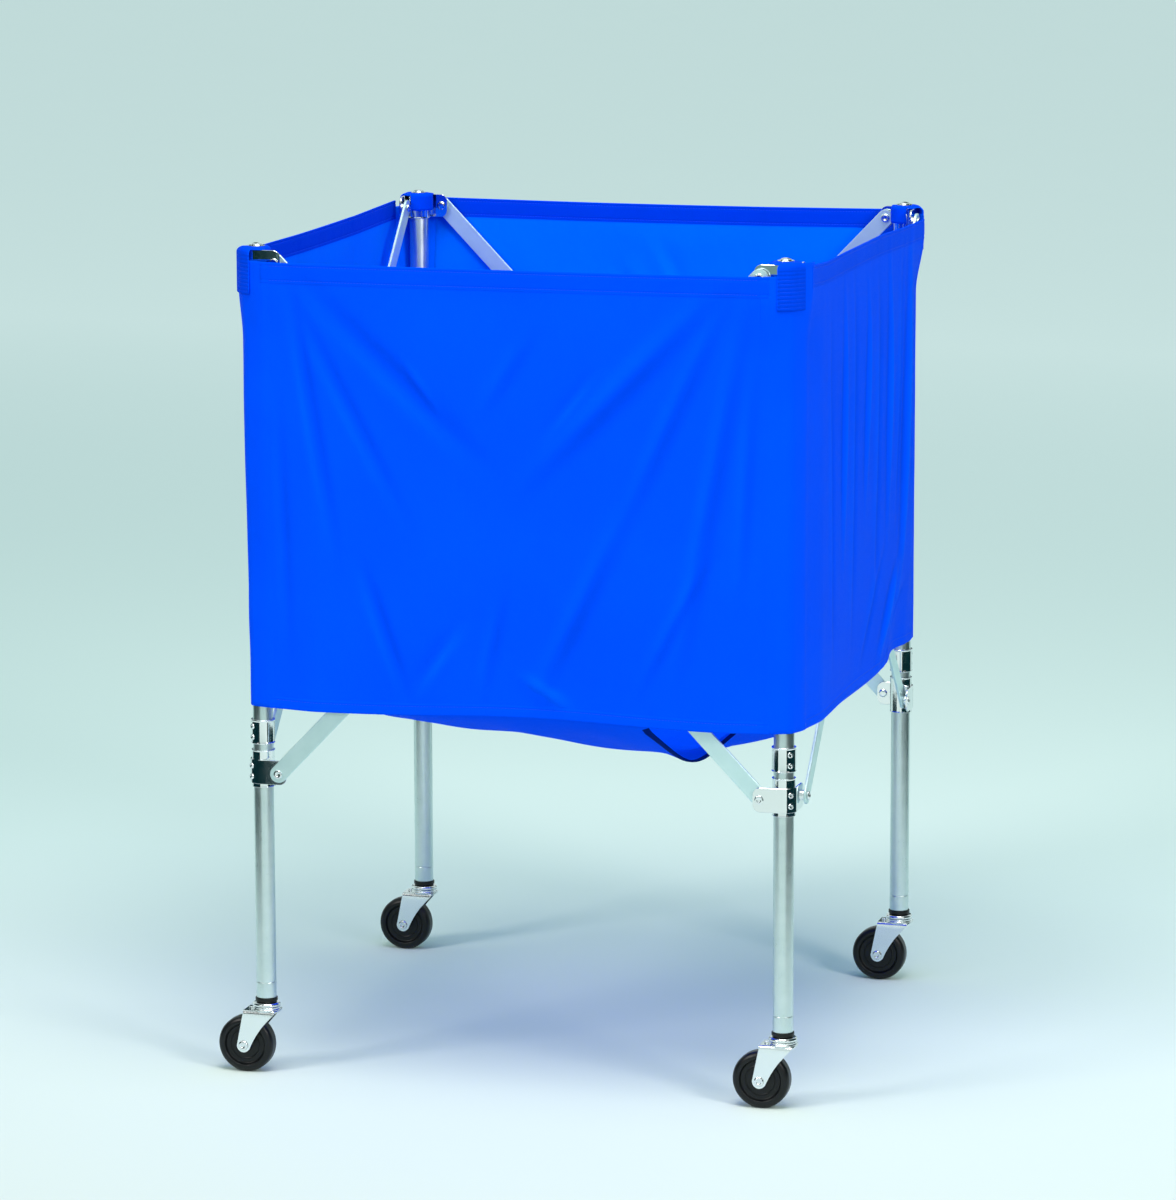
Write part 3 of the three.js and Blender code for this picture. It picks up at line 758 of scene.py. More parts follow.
# Stud, spacer, shank and head, turned about the pivot. The bar lies outside the sheet or inside it.
def pivotRivet(alongX, height, barOutside):
    inside, outside, bite = bracket["inner"], bracket["outer"], bracket["bite"]
    head, shank, spacer = rivet["head"], rivet["shank"], rivet["spacer"]
    if barOutside:
        stud = inside - rivet["studHeight"]
        seat, base = bar["outerInside"] - gap, bar["outerOutside"] + gap
        profile = [
            (0, stud), (head * rivet["inset"], stud), (head, inside), (spacer, outside - bite),
            (spacer, seat), (shank, seat), (shank, base), (head, base),
            *headShape(head, base, rivet["headHeight"]),
        ]
    else:
        seat, base = bar["innerOutside"] + gap, bar["innerInside"] - gap
        profile = [
            *mirrored(headShape(head, base, rivet["headHeight"]), base), (head, base), (shank, base),
            (shank, seat), (spacer, seat), (spacer, inside + bite), (head, inside + bite), (head, outside),
            *headShape(head, outside, rivet["studHeight"]),
        ]
    direction = (0, -1, 0) if alongX else (-1, 0, 0)
    place = (pivots["reach"], 0, height) if alongX else (0, pivots["reach"], height)
    return aimed(turned(rounded(profile, rivet["edge"], 2), rivet["segments"]), direction, place)


# Two small rivet heads above each other on the outer corner.
def cornerStuds(surface, height):
    diagonal = np.array([-1.0, -1.0, 0.0]) / sqrt(2)
    radius, depth = rivet["stud"], rivet["studDepth"]
    outline = [(0, -depth), (radius, -depth), *headShape(radius, 0, rivet["studHeight"])]
    stud = turned(outline, rivet["studSegments"])
    return [
        aimed(stud, diagonal, diagonal * surface + (0, 0, height + rise))
        for rise in (-rivet["rise"], rivet["rise"])
    ]


# A short tube whose ends are rolled into thin lips.
def sleeve(bottom, top):
    bore, outer, lip = bracket["bore"], bracket["sleeve"], bracket["lip"]
    rim = outer + lip * bracket["lipOut"]
    outline = [
        (bore, bottom), (rim, bottom), (rim, bottom + lip), (outer, bottom + lip * 2),
        (outer, top - lip * 2), (rim, top - lip), (rim, top), (bore, top), (bore, bottom),
    ]
    return turned(rounded(outline, bracket["edge"], 3), bracket["segments"])


def bracketShape(height, below, above, xBarOutside):
    return joinedShapes([
        sleeve(height - below, height + above),
        bentSheet(height),
        pivotRivet(True, height, xBarOutside),
        pivotRivet(False, height, not xBarOutside),
        *cornerStuds(bracket["outer"], height),
    ])


# The stop above the slider: a bright band, sunk a little between two rolled rims, with two rivets.
collar = {
    "gap": 7.0, "height": 27.0, "wall": 1.8, "lip": 0.8, "lipOut": 0.5, "bandFrom": 2.6, "sunk": 0.25,
    "edge": 0.4, "segments": 64,
}


def collarShape():
    bore, lip = tubeRadius + gap, collar["lip"]
    outer = bore + collar["wall"]
    bottom = pivots["low"] + bracket["above"] + collar["gap"]
    top = bottom + collar["height"]
    rim, band, bandFrom = outer + lip * collar["lipOut"], outer - collar["sunk"], lip * collar["bandFrom"]
    outline = [
        (bore, bottom), (outer, bottom), (rim, bottom + lip), (outer, bottom + lip * 2),
        (band, bottom + bandFrom), (band, top - bandFrom),
        (outer, top - lip * 2), (rim, top - lip), (outer, top), (bore, top), (bore, bottom),
    ]
    return joinedShapes([
        turned(rounded(outline, collar["edge"], 3), collar["segments"]),
        *cornerStuds(band, (bottom + top) / 2),
    ])


edge = bracket["height"] / 2
topShape = bracketShape(pivots["top"], edge, edge, False)
slideShape = bracketShape(pivots["low"], bracket["below"], bracket["above"], True)
atEachLeg("topBracket", topShape, bright, "leg", "bright_steel", "top_bracket")
atEachLeg("slideBracket", slideShape, bright, "slider", "bright_steel", "slider")
atEachLeg("stopCollar", collarShape(), bright, "leg", "bright_steel", "stop_collar")
print("brackets made")


# Post screws with their washers, on an insert inside the tube.
screw = {
    "washer": 9.0, "washerThick": 1.2, "dome": 6.5, "domeHeight": 2.8, "shank": 3.0, "edge": 0.4,
    "insertFrom": 20.0, "insertTo": 8.0, "insertInset": 1.5,
}


def screwShape():
    base = strapTop + gap
    top = base + screw["washerThick"]
    low, high = tubeLength - screw["insertFrom"], tubeLength - screw["insertTo"]
    insert = tubeRadius - screw["insertInset"]
    outline = [
        (0, low), (insert, low), (insert, high), (screw["shank"], high), (screw["shank"], base),
        (screw["washer"], base), (screw["washer"], top), (screw["dome"], top),
    ]
    crown = dome(screw["dome"], top, screw["domeHeight"], 8)
    return turned(np.concatenate([rounded(outline, screw["edge"], 3), crown]))


atEachLeg("postScrew", screwShape(), rivetSteel, "leg", "bright_steel", "post_screw")
print("post screws made")


# Castors, trailing towards -X. upperCrown, cupGroove and cupShoulder are steps outwards from a race's rim and
# upwards from its top, from the plate and from the cup's lid.
castor = {
    "plugFlange": 12.4, "flangeHeight": 4.7, "flangeEdge": 1.2, "plugHeight": 18.0, "plugEdge": 0.6,
    "stem": 5.0, "stemHead": 7.5, "stemHeadHeight": 2.5, "upperRace": 15.5, "upperHeight": 4.5,
    "upperCrown": [(-5.0, -0.05), (-1.2, -0.9), (0, -2.4)], "upperRise": 0.2, "upperEdge": 0.7,
    "lowerRace": 16.0, "lowerHeight": 4.2, "cupGroove": [(0, 1.2), (-0.9, 1.9)],
    "cupShoulder": [(-0.5, -0.9), (-2.0, 0)], "cupEdge": 0.6, "bite": 0.3, "raceSegments": 56,
    "plate": 2.5, "front": 16.0, "back": 23.5, "width": 30.0, "cheek": 2.2, "waist": 3.2, "bend": 2.6,
    "flare": 1.6, "edge": 0.35, "cheekEnd": 8.0, "cheekFront": 12.0, "nub": 3.0, "nubHeight": 2.0,
    "axleDrop": 54.3, "trail": 23.0, "axle": 3.0, "axleHead": 5.5, "axleHeadHeight": 2.0, "axleEdge": 0.2,
}
castor["raceTop"] = -gap - castor["flangeHeight"]
castor["raceBottom"] = castor["raceTop"] - castor["upperHeight"]
castor["plateTop"] = castor["raceBottom"] - gap - castor["lowerHeight"]
castor["plateBottom"] = castor["plateTop"] - castor["plate"]
axlePlace = (-castor["trail"], 0, -castor["axleDrop"])


# The black plug with its flange, which closes the tube's end.
def plugShape():
    bore = tubeRadius - tube["wall"] - gap
    flange, low, high = castor["plugFlange"], castor["raceTop"], castor["plugHeight"]
    outline = [
        (0, low), (flange - castor["flangeEdge"], low), (flange, low + castor["flangeEdge"]), (flange, -gap),
        (bore, -gap), (bore, high), (0, high),
    ]
    return turned(rounded(outline, castor["plugEdge"]))


# The bright upper race, with the stem and its head under the fork's plate.
def raceShape():
    rim, stem, head = castor["upperRace"], castor["stem"], castor["stemHead"]
    top, bottom, under = castor["raceTop"], castor["raceBottom"], castor["plateBottom"] - gap
    foot = under - castor["stemHeadHeight"]
    outline = [
        (0, top + castor["upperRise"]), (stem, top + castor["upperRise"]),
        *[(rim + out, top + up) for out, up in castor["upperCrown"]],
        (rim, bottom), (stem, bottom), (stem, under), (head, under), (head, foot), (0, foot),
    ]
    return turned(rounded(outline, castor["upperEdge"]), castor["raceSegments"])


# A cheek's front and back lines at heights above the axle: the axle's circle, then a tangent that is drawn in
# at its waist in front, and a straight line at the back.
def cheekLines(rise, frontTop, backTop):
    end = castor["cheekEnd"]
    heights = np.concatenate([end * np.cos(np.linspace(pi, pi / 2, 12)), np.linspace(0, rise, 9)[1:]])
    touch = atan2(rise, frontTop) - acos(end / hypot(rise, frontTop))
    touchHeight, touchX = end * sin(touch), end * cos(touch)
    onCircle = np.sqrt(np.maximum(end ** 2 - np.minimum(heights, end) ** 2, 0))
    slope = (heights - touchHeight) / (rise - touchHeight)
    front = np.where(heights < touchHeight, onCircle, touchX + (frontTop - touchX) * slope)
    front = front - castor["waist"] * np.sin(pi * np.clip(slope, 0, 1))
    back = np.where(heights < 0, -onCircle, -end + (backTop + end) * heights / rise)
    return heights, front, back


# One sheet bent to a U. Across, the path goes up one cheek, round a bend, over the plate and down the other
# cheek. Along X each station runs from its back line to its front line.
def forkSheet():
    bend, cheekY = castor["bend"], castor["width"] / 2 - castor["cheek"] / 2
    topZ = (castor["plateTop"] + castor["plateBottom"]) / 2
    axleZ = -castor["axleDrop"]
    frontTop, backTop = castor["cheekFront"] + castor["trail"], castor["trail"] - castor["back"]
    heights, cheekFront, cheekBack = cheekLines(topZ - bend - axleZ, frontTop, backTop)
    count = len(heights)
    angle, across = np.linspace(0, pi / 2, 7)[1:], np.linspace(0, pi / 2, 6)[1:]
    bendFront = frontTop + castor["flare"] * np.sin(angle)
    plateRun = castor["front"] + castor["trail"] - bendFront[-1]
    y = np.concatenate([
        np.full(count, -cheekY), -(cheekY - bend) - bend * np.cos(angle), -(cheekY - bend) * np.cos(across),
    ])
    z = np.concatenate([heights + axleZ, topZ - bend + bend * np.sin(angle), np.full(len(across), topZ)])
    front = np.concatenate([cheekFront, bendFront, bendFront[-1] + plateRun * np.sin(across)])
    back = np.concatenate([cheekBack, np.full(len(angle) + len(across), backTop)])
    normalY = np.concatenate([np.full(count, -1.0), -np.cos(angle), np.zeros(len(across))])
    normalZ = np.concatenate([np.zeros(count), np.sin(angle), np.ones(len(across))])
    y, z, front, back, normalY, normalZ = (
        np.concatenate([line, sign * line[-2::-1]]) for line, sign in
        ((y, -1), (z, 1), (front, 1), (back, 1), (normalY, -1), (normalZ, 1))
    )
    origins = np.stack([(front + back) / 2 - castor["trail"], y, z], axis=-1)
    sideways = np.stack([0 * y, normalY, normalZ], axis=-1)
    upwards = np.tile([1.0, 0.0, 0.0], (len(y), 1))
    sections = stripSections(castor["cheek"] / 2, np.maximum(front - back, 0.0) / 2, castor["edge"])
    return swept(origins, sideways, upwards, sections)


# The bent sheet with the lower race's cup on its plate, and a small nub at the back.
def forkShape():
    top, rim, hole = castor["plateTop"], castor["lowerRace"], castor["stem"] + gap
    low, lid = top - castor["bite"], top + castor["lowerHeight"]
    cup = [
        (hole, low), (rim, low), *[(rim + out, top + up) for out, up in castor["cupGroove"]],
        *[(rim + out, lid + up) for out, up in castor["cupShoulder"]], (hole, lid), (hole, low),
    ]
    nubTop = top + castor["nubHeight"]
    nub = [(0, low), (castor["nub"], low), (castor["nub"], nubTop), (0, nubTop)]
    nubPlace = (2 * castor["nub"] - castor["back"], 0, 0)
    return joinedShapes([
        forkSheet(),
        turned(rounded(cup, castor["cupEdge"]), castor["raceSegments"]),
        moved(turned(rounded(nub, castor["cupEdge"], 3), 24), nubPlace),
    ])


# A rivet through both cheeks, with a spun and dimpled head on each side.
def axleShape():
    seat, head = castor["width"] / 2 + gap, castor["axleHead"]
    upper = [(castor["axle"], seat), (head, seat), *headShape(head, seat, castor["axleHeadHeight"])]
    outline = rounded([*mirrored(upper), *upper], castor["axleEdge"], 2)
    return aimed(turned(outline, 36), (0, -1, 0), axlePlace)


wheel = {
    "radius": 31.75, "width": 22.0, "land": 11.0, "shoulder": 30.3, "shoulderWidth": 18.0, "rimEdge": 27.0,
    "rimInner": 23.5, "web": 22.0, "webThick": 14.0, "ring": 16.6, "ringHalf": 0.9, "ringRise": 0.7,
    "hub": 8.0, "hubTaper": 0.6, "hubWidth": 23.6, "bore": 3.3, "edge": 1.3, "segments": 96,
}


# Half a profile from the tread's middle to the bore, mirrored, and turned about the axle. A raised ring runs
# round the web.
def wheelShape():
    face, web, hub = wheel["width"] / 2, wheel["webThick"] / 2, wheel["hubWidth"] / 2
    ring, ringHalf = wheel["ring"], wheel["ringHalf"]
    upper = [
        (wheel["radius"], 0), (wheel["radius"], wheel["land"] / 2),
        (wheel["shoulder"], wheel["shoulderWidth"] / 2), (wheel["rimEdge"], face), (wheel["rimInner"], face),
        (wheel["web"], web), (ring + ringHalf, web), (ring, web + wheel["ringRise"]), (ring - ringHalf, web),
        (wheel["hub"], web), (wheel["hub"] - wheel["hubTaper"], hub), (wheel["bore"], hub),
    ]
    lower = mirrored(upper)
    outline = rounded([*lower, *upper[1:], lower[0]], wheel["edge"], 5)
    return aimed(turned(outline, wheel["segments"]), (0, -1, 0), axlePlace)


for name, shape, material, body, slot, node in (
    ("castorPlug", plugShape(), plugBlack, "leg", "plug_plastic", "castor_stem"),
    ("upperRace", raceShape(), zinc, "leg", "bright_steel", None),
    ("castorFork", forkShape(), zinc, "castor", "bright_steel", "castor_fork"),
    ("castorAxle", axleShape(), rivetSteel, "castor", "bright_steel", "castor_axle"),
    ("castorWheel", wheelShape(), wheelBlack, "wheel", "wheel_plastic", "castor_wheel"),
):
    atEachLeg(name, shape, material, body, slot, node, onCastor)
print("castors made")


# Flat bars: a strip carried from pivot to pivot, narrowing to a half circle past each pivot.
span = legPitch - 2 * pivots["reach"]
drop = pivots["top"] - pivots["low"]
barSpan = hypot(span, drop)


# Half the width is W/2, and sqrt((W/2)^2 - d^2) past a pivot by d. Returns the shape and its UV.
def barShape(rising, inside):
    ease = np.sin(np.linspace(0, pi / 2, bar["tipSteps"]))
    tip, thick = bar["width"] / 2, bar["thickness"] / 2
    between = np.linspace(0, barSpan, bar["steps"])[1:-1]
    stations = np.concatenate([-tip * ease[::-1], between, barSpan + tip * ease])
    past = np.maximum(np.maximum(-stations, stations - barSpan), 0)
    wide = np.sqrt(np.maximum(tip ** 2 - past ** 2, 0))
    along = np.array([span, 0, drop if rising else -drop]) / barSpan
    start = np.array([-span / 2, -half - inside - thick, pivots["low"] if rising else pivots["top"]])
    outward = np.array([0.0, -1.0, 0.0])
    across = np.cross(along, outward)
    count = len(stations)
    shape = swept(
        start + stations[:, None] * along, np.tile(outward, (count, 1)), np.tile(across, (count, 1)),
        stripSections(thick, wide, bar["edge"]),
    )
    u, v = np.repeat(stations, len(sectionEdge)), (sectionEdge * wide[:, None]).ravel()
    return shape, np.stack([u, v], axis=-1) * mm


# Where two bars cross: head, shank, spacer between the bars, shank and head.
def crossPivotShape():
    inner, outer = bar["innerInside"] - gap, bar["outerOutside"] + gap
    low, high = bar["innerOutside"] + gap, bar["outerInside"] - gap
    head, shank, spacer = rivet["head"], rivet["shank"], rivet["spacer"]
    profile = [
        *mirrored(headShape(head, inner, rivet["headHeight"]), inner), (head, inner), (shank, inner),
        (shank, low), (spacer, low), (spacer, high), (shank, high), (shank, outer), (head, outer),
        *headShape(head, outer, rivet["headHeight"]),
    ]
    place = (0, -half, (pivots["top"] + pivots["low"]) / 2)
    return aimed(turned(rounded(profile, rivet["edge"], 2), rivet["segments"]), (0, -1, 0), place)


for side, quarter in turnOf.items():
    for kind, rising, inside in (("inner", False, bar["innerInside"]), ("outer", True, bar["outerInside"])):
        shape, uv = barShape(rising, inside)
        node = f"bar_{kind}_{side}"
        makePiece(
            f"{kind}Bar_{side}", placed(shape, quarter), brushed, node, "bar_aluminium", node,
            sharp=bar["sharp"], uv=uv,
        )
    makePiece(
        f"crossPivot_{side}", placed(crossPivotShape(), quarter), rivetSteel, f"bar_outer_{side}",
        "bright_steel", f"cross_pivot_{side}",
    )
print("bars made")


# The bag. Its walls are taut sheets between the corners, s along a wall from its middle and z up. inset
# values are heights between which a corner comes closer to its tube, and between which it stands out again.
bag = {
    "offset": 25.6, "reach": 12.5, "thick": 0.9, "hem": 0.45, "topHem": 22.0, "lowHem": 12.0,
    "overlap": 9.0, "across": 230, "up": 190, "keep": 0.253, "calmRun": 34, "hemFade": 75, "topFade": 60,
    "topSpread": 150, "topPull": 6.0, "settle": 0.9, "topSag": 1.5, "insetFrom": (360, 680),
    "insetTo": (735, 798), "insetRun": 62, "stitchIn": 3.0, "stitchTop": 3.5, "stitchLow": 2.5, "edgeIn": 0.5,
    "hemStep": 0.8, "groove": 0.35, "grooveWide": 1.1,
}
wallEnd = half - bag["reach"]

# Where each wall's slow wave starts, in radians.
wavePhase = {"front": 5, "right": 5, "back": 4, "left": 4}

# Where the bottom pulls a hem in: centre along the wall, width, pull and lift.
pulls = {
    "front": [(15, 125, 4, 5.0)],
    "right": [(185, 62, 12.5, 3.0), (-60, 110, 3.0, 1.2)],
    "back": [(-20, 130, 4, 4.0)],
    "left": [(10, 130, 4, 4.0)],
}

# How far each wall's upper edge is pulled up at its first end, inside and at its last end, and how much
# closer to the tube each corner lies at its lower end and farther up. Beside the brackets it stands clear of
# them.
edgeLift = {
    "front": (2.0, 2.0, 2.0), "right": (14.5, 11.0, 6.0), "back": (0.0, 0.0, 0.0), "left": (0.0, 0.0, 0.0),
}
cornerInset = {
    "front_left": (9.5, 5.0), "front_right": (7.0, 6.0), "back_right": (9.5, 9.5), "back_left": (7.0, 6.0),
}

# Each fold is (start along, start up, end along, end up, width, height): shares of the wall's half length and
# of its height, then millimetres. A negative height is a groove.
folds = {
    "front": [
        (0.84, 0.96, 0.05, 0.50, 16, -2.4), (0.86, 0.95, 0.42, 0.40, 12, -2.0),
        (0.93, 0.93, 0.66, 0.10, 12, -2.2), (0.95, 0.80, 0.90, 0.30, 9, -1.6),
        (-0.88, 0.95, -0.70, 0.36, 10, -2.2), (-0.84, 0.97, -0.08, 0.56, 17, -2.0),
        (-0.86, 0.92, -0.42, 0.44, 11, -1.7), (0.46, 0.46, 0.10, 0.03, 13, -2.0),
        (-0.60, 0.34, -0.42, 0.04, 10, -2.0), (0.80, 0.40, 0.50, 0.06, 9, -1.6),
        (-0.20, 0.20, -0.40, 0.03, 11, 1.7), (0.02, 0.10, 0.24, 0.02, 12, 2.0),
        (-0.03, 0.28, -0.12, 0.03, 9, -1.5), (-0.93, 0.70, -0.90, 0.14, 8, -1.5),
        (0.10, 0.86, -0.12, 0.66, 12, -1.2), (0.34, 0.78, 0.12, 0.62, 8, 1.2),
        (-0.44, 0.80, -0.26, 0.66, 8, 1.2),
    ],
    "right": [
        (-0.66, 0.88, -0.60, 0.10, 10, -2.2), (-0.40, 0.92, -0.44, 0.30, 9, 2.4),
        (-0.22, 0.95, -0.26, 0.12, 11, -2.6), (0.02, 0.92, -0.06, 0.40, 9, 2.2),
        (0.20, 0.90, 0.14, 0.20, 12, -3.0), (0.40, 0.96, 0.34, 0.30, 10, 2.6),
        (0.62, 0.94, 0.50, 0.34, 10, -2.6), (0.78, 0.98, 0.60, 0.10, 13, 3.4),
        (0.86, 0.80, 0.84, 0.20, 8, -2.0), (0.60, 0.24, 0.20, 0.02, 12, 3.0),
        (0.72, 0.16, 0.34, 0.00, 9, -2.4), (0.30, 0.30, -0.10, 0.04, 10, -1.8),
    ],
    "back": [
        (0.86, 0.90, 0.30, 0.50, 18, -2.2), (-0.84, 0.92, -0.25, 0.46, 16, -2.4),
        (-0.90, 0.86, -0.70, 0.20, 12, -1.8), (0.20, 0.86, 0.00, 0.60, 12, 1.6),
        (0.55, 0.50, 0.70, 0.10, 12, 2.0), (-0.10, 0.30, -0.30, 0.04, 14, -2.0),
        (0.06, 0.92, -0.12, 0.70, 12, -1.4),
    ],
    "left": [
        (-0.80, 0.92, -0.60, 0.20, 12, -2.2), (0.80, 0.94, 0.44, 0.34, 14, -2.4),
        (-0.40, 0.90, -0.30, 0.30, 10, 2.0), (0.10, 0.94, 0.02, 0.30, 11, -2.0),
        (0.50, 0.60, 0.66, 0.10, 12, 2.2), (-0.30, 0.26, -0.55, 0.04, 12, -2.0),
    ],
}

# Each side's factor on the heights and on the widths of its folds.
foldStrength = {"front": (1.7, 0.62), "right": (1.5, 0.7), "back": (1.7, 0.7), "left": (1.6, 0.7)}

# A fold fades out beyond its ends. Beside it runs a flank of the opposite sign, as a share of its height,
# with its distance and its width as multiples of the fold's.
foldForm = {"beyond": 0.15, "flank": 0.5, "flankAt": 1.7, "flankWide": 1.2}

# The bars cross the middle of the wall, and the crossing travels down as the cart folds. A groove is at most
# deepest there, less by a share near the crossing's way, and the cloth keeps clear of the bars by clear, or
# by that less slack at the wall's ends.
barRoom = {
    "deepest": 3.7, "share": 0.62, "spread": 60, "fade": 34, "travel": 105, "clear": 21.9, "slack": 12,
    "slackFrom": 100, "slackTo": 165, "soft": 0.4,
}


# Sums of pull * exp(-((s-centre)/width)^2), and the same for the lift.
def hemPull(kind, s):
    bells = [np.exp(-((s - place) / width) ** 2) for place, width, _, _ in pulls[kind]]
    inwards = sum(bell * row[2] for bell, row in zip(bells, pulls[kind]))
    upwards = sum(bell * row[3] for bell, row in zip(bells, pulls[kind]))
    return inwards, upwards


# Sum over the folds of height * (exp(-(d/w)^2) less the flank's wider bell) * a bump along the fold, where d
# is the distance from the fold's line. Grooves level off above the bars, and more so where the bars cross.
def foldHeight(s, t, kind):
    total = np.zeros_like(s)
    tall = wallTop[kind] - bagBottom
    strength, narrowing = foldStrength[kind]
    over = foldForm["beyond"]
    for x0, z0, x1, z1, width, height in folds[kind]:
        start, end = np.array([x0 * wallEnd, z0 * tall]), np.array([x1 * wallEnd, z1 * tall])
        line = end - start
        length = np.linalg.norm(line)
        px, pz = s - start[0], t * tall - start[1]
        along = np.clip((px * line[0] + pz * line[1]) / length ** 2, -over, 1 + over)
        aside = (px * line[1] - pz * line[0]) / length
        ends = np.cos(np.clip((along - 0.5) / (0.5 + over), -1, 1) * pi / 2) ** 2
        wide = width * narrowing
        flank = np.exp(-((aside - foldForm["flankAt"] * wide) / (foldForm["flankWide"] * wide)) ** 2)
        total += strength * height * (np.exp(-(aside / wide) ** 2) - foldForm["flank"] * flank) * ends
    crossHigh = (pivots["top"] + pivots["low"]) / 2
    height = t * tall + bagBottom
    beyond = np.maximum(np.maximum(height - crossHigh, crossHigh - barRoom["travel"] - height), 0)
    near = np.exp(-(s / barRoom["spread"]) ** 2 - (beyond / barRoom["fade"]) ** 2)
    deepest = barRoom["deepest"] * (1 - barRoom["share"] * near)
    return np.where(total < 0, -deepest * np.tanh(-total / deepest), total)


def insetAt(corner, z):
    low, high = cornerInset[corner]
    return (low + (high - low) * softStep(z, *bag["insetFrom"])) * (1 - softStep(z, *bag["insetTo"]))


# How far the cloth stands out from the legs' line at s along the wall and z up: the bag's offset, less the
# corner's inset, the bottom's pull at the hem and the sag of the free upper edge, plus the folds and a slow
# wave, and never less than what clears the bars. Returns that and how far the cloth is lifted.
def wallSurface(kind, s, z):
    top = wallTop[kind]
    t = (z - bagBottom) / (top - bagBottom)
    u = s / wallEnd
    free = np.clip(1 - u ** 2, 0, 1)
    fromEnd = (1 - np.abs(u)) * wallEnd
    near = softStep(fromEnd, bag["overlap"], bag["overlap"] + bag["calmRun"])
    nearHem = np.exp(-((z - bagBottom) / bag["hemFade"]) ** 2)
    inwards, upwards = hemPull(kind, s)
    upperPull = np.exp(-((z - top) / bag["topFade"]) ** 2) * np.exp(-(s / bag["topSpread"]) ** 2)
    settle = bag["settle"] * np.sin(3.1 * u + 2.3 * t + wavePhase[kind]) * free
    soft = foldHeight(s, t, kind) + settle
    firstLift, midLift, lastLift = edgeLift[kind]
    lifted = firstLift + (midLift - firstLift) * softStep(u, -1, -0.7)
    lifted = lifted + (lastLift - midLift) * softStep(u, 0.1, 0.95)
    first, last = cornersOf[kind]
    inset = np.where(s < 0, insetAt(first, z), insetAt(last, z)) * (1 - softStep(fromEnd, 2, bag["insetRun"]))
    out = bag["offset"] - inset + near * (soft - inwards * nearHem - bag["topPull"] * upperPull)
    slack = barRoom["slack"] * softStep(np.abs(s), barRoom["slackFrom"], barRoom["slackTo"])
    lowest = barRoom["clear"] - slack
    over = out - lowest
    out = lowest + (over + np.sqrt(over ** 2 + barRoom["soft"])) / 2
    rise = near * upwards * nearHem + (lifted - bag["topSag"] * free) * np.clip(t, 0, 1) ** 3
    return out, rise


# The wall's middle surface for arrays of s and z, in the side's own axes.
def wallPoints(kind, s, z):
    out, rise = wallSurface(kind, s, z)
    return np.stack([s, -half - out, z + rise], axis=-1)


# The heights of a wall's three stitch lines.
def stitchLines(kind):
    top = wallTop[kind]
    lowest = bagBottom + bag["lowHem"] - bag["stitchLow"]
    return top - bag["topHem"] + bag["stitchIn"], top - bag["stitchTop"], lowest


# Extra cloth of the hems, folded over at the upper and lower edges, with a groove at each stitch line.
def hemThickness(kind, z):
    top = wallTop[kind]
    step = bag["hemStep"]
    upper = softStep(z, top - bag["topHem"] - step, top - bag["topHem"] + step)
    lower = 1 - softStep(z, bagBottom + bag["lowHem"] - step, bagBottom + bag["lowHem"] + step)
    groove = sum(np.exp(-((z - line) / bag["grooveWide"]) ** 2) for line in stitchLines(kind))
    return bag["hem"] * (upper + lower) - bag["groove"] * groove


# A closed sheet. Its faces are the middle surface moved both ways along its normal by half the thickness, and
# a ring round the edge stands out by the same amount, so the edge looks rounded. Each face gets its own
# painted shade and light, and the ring takes the outer face's.
def clothSheet(middle, thick, uv, outerPaintedShade=0.5, innerPaintedShade=0.5):
    rows, columns = middle.shape[:2]
    normal = np.cross(np.gradient(middle, axis=1), np.gradient(middle, axis=0))
    normal /= np.maximum(np.linalg.norm(normal, axis=-1, keepdims=True), 1e-9)
    thick = np.broadcast_to(thick, (rows, columns))[..., None]
    index = np.arange(rows * columns).reshape(rows, columns)
    border = np.concatenate([index[0, :-1], index[:-1, -1], index[-1, :0:-1], index[:0:-1, 0]])
    outward = np.zeros_like(middle)
    outward[0] += middle[0] - middle[1]
    outward[-1] += middle[-1] - middle[-2]
    outward[:, 0] += middle[:, 0] - middle[:, 1]
    outward[:, -1] += middle[:, -1] - middle[:, -2]
    outward = outward.reshape(-1, 3)[border]
    outward /= np.maximum(np.linalg.norm(outward, axis=-1, keepdims=True), 1e-9)
    ring = middle.reshape(-1, 3)[border] + outward * thick.reshape(-1, 1)[border]
    upper, faces = grid(middle + normal * thick)
    lower, _ = grid(middle - normal * thick)
    count = rows * columns
    here = np.arange(len(border))
    ahead = (here + 1) % len(border)
    ringHere, ringAhead = 2 * count + here, 2 * count + ahead
    faces.append(faces[0][:, ::-1] + count)
    faces.append(np.stack([border[ahead], border[here], ringHere, ringAhead], axis=-1))
    faces.append(np.stack([ringAhead, ringHere, count + border[here], count + border[ahead]], axis=-1))
    flatUv = uv.reshape(-1, 2) * mm
    paintedShades = [np.broadcast_to(paintedShadeTone, (rows, columns)).reshape(-1) for paintedShadeTone in (outerPaintedShade, innerPaintedShade)]
    extra = {
        "uv": np.concatenate([flatUv, flatUv, flatUv[border]]),
        "paintedShadeTone": np.concatenate([*paintedShades, paintedShades[0][border]]),
    }
    return (np.concatenate([upper, lower, ring]), faces), extra


# Painted shade and painted light on a wall's outer and inner face: the tone away from hems and folds, the
# change on the upper hem and the change for each millimetre of a fold, with its lowest and highest value. The
# upper hem is painted darker, grooves darker and ridges lighter, and the inner face is painted lighter
# overall.
wallPaintedShades = ((0.5, -0.08, 0.045, 0.2, 0.9), (0.95, -0.73, -0.03, 0, 1))
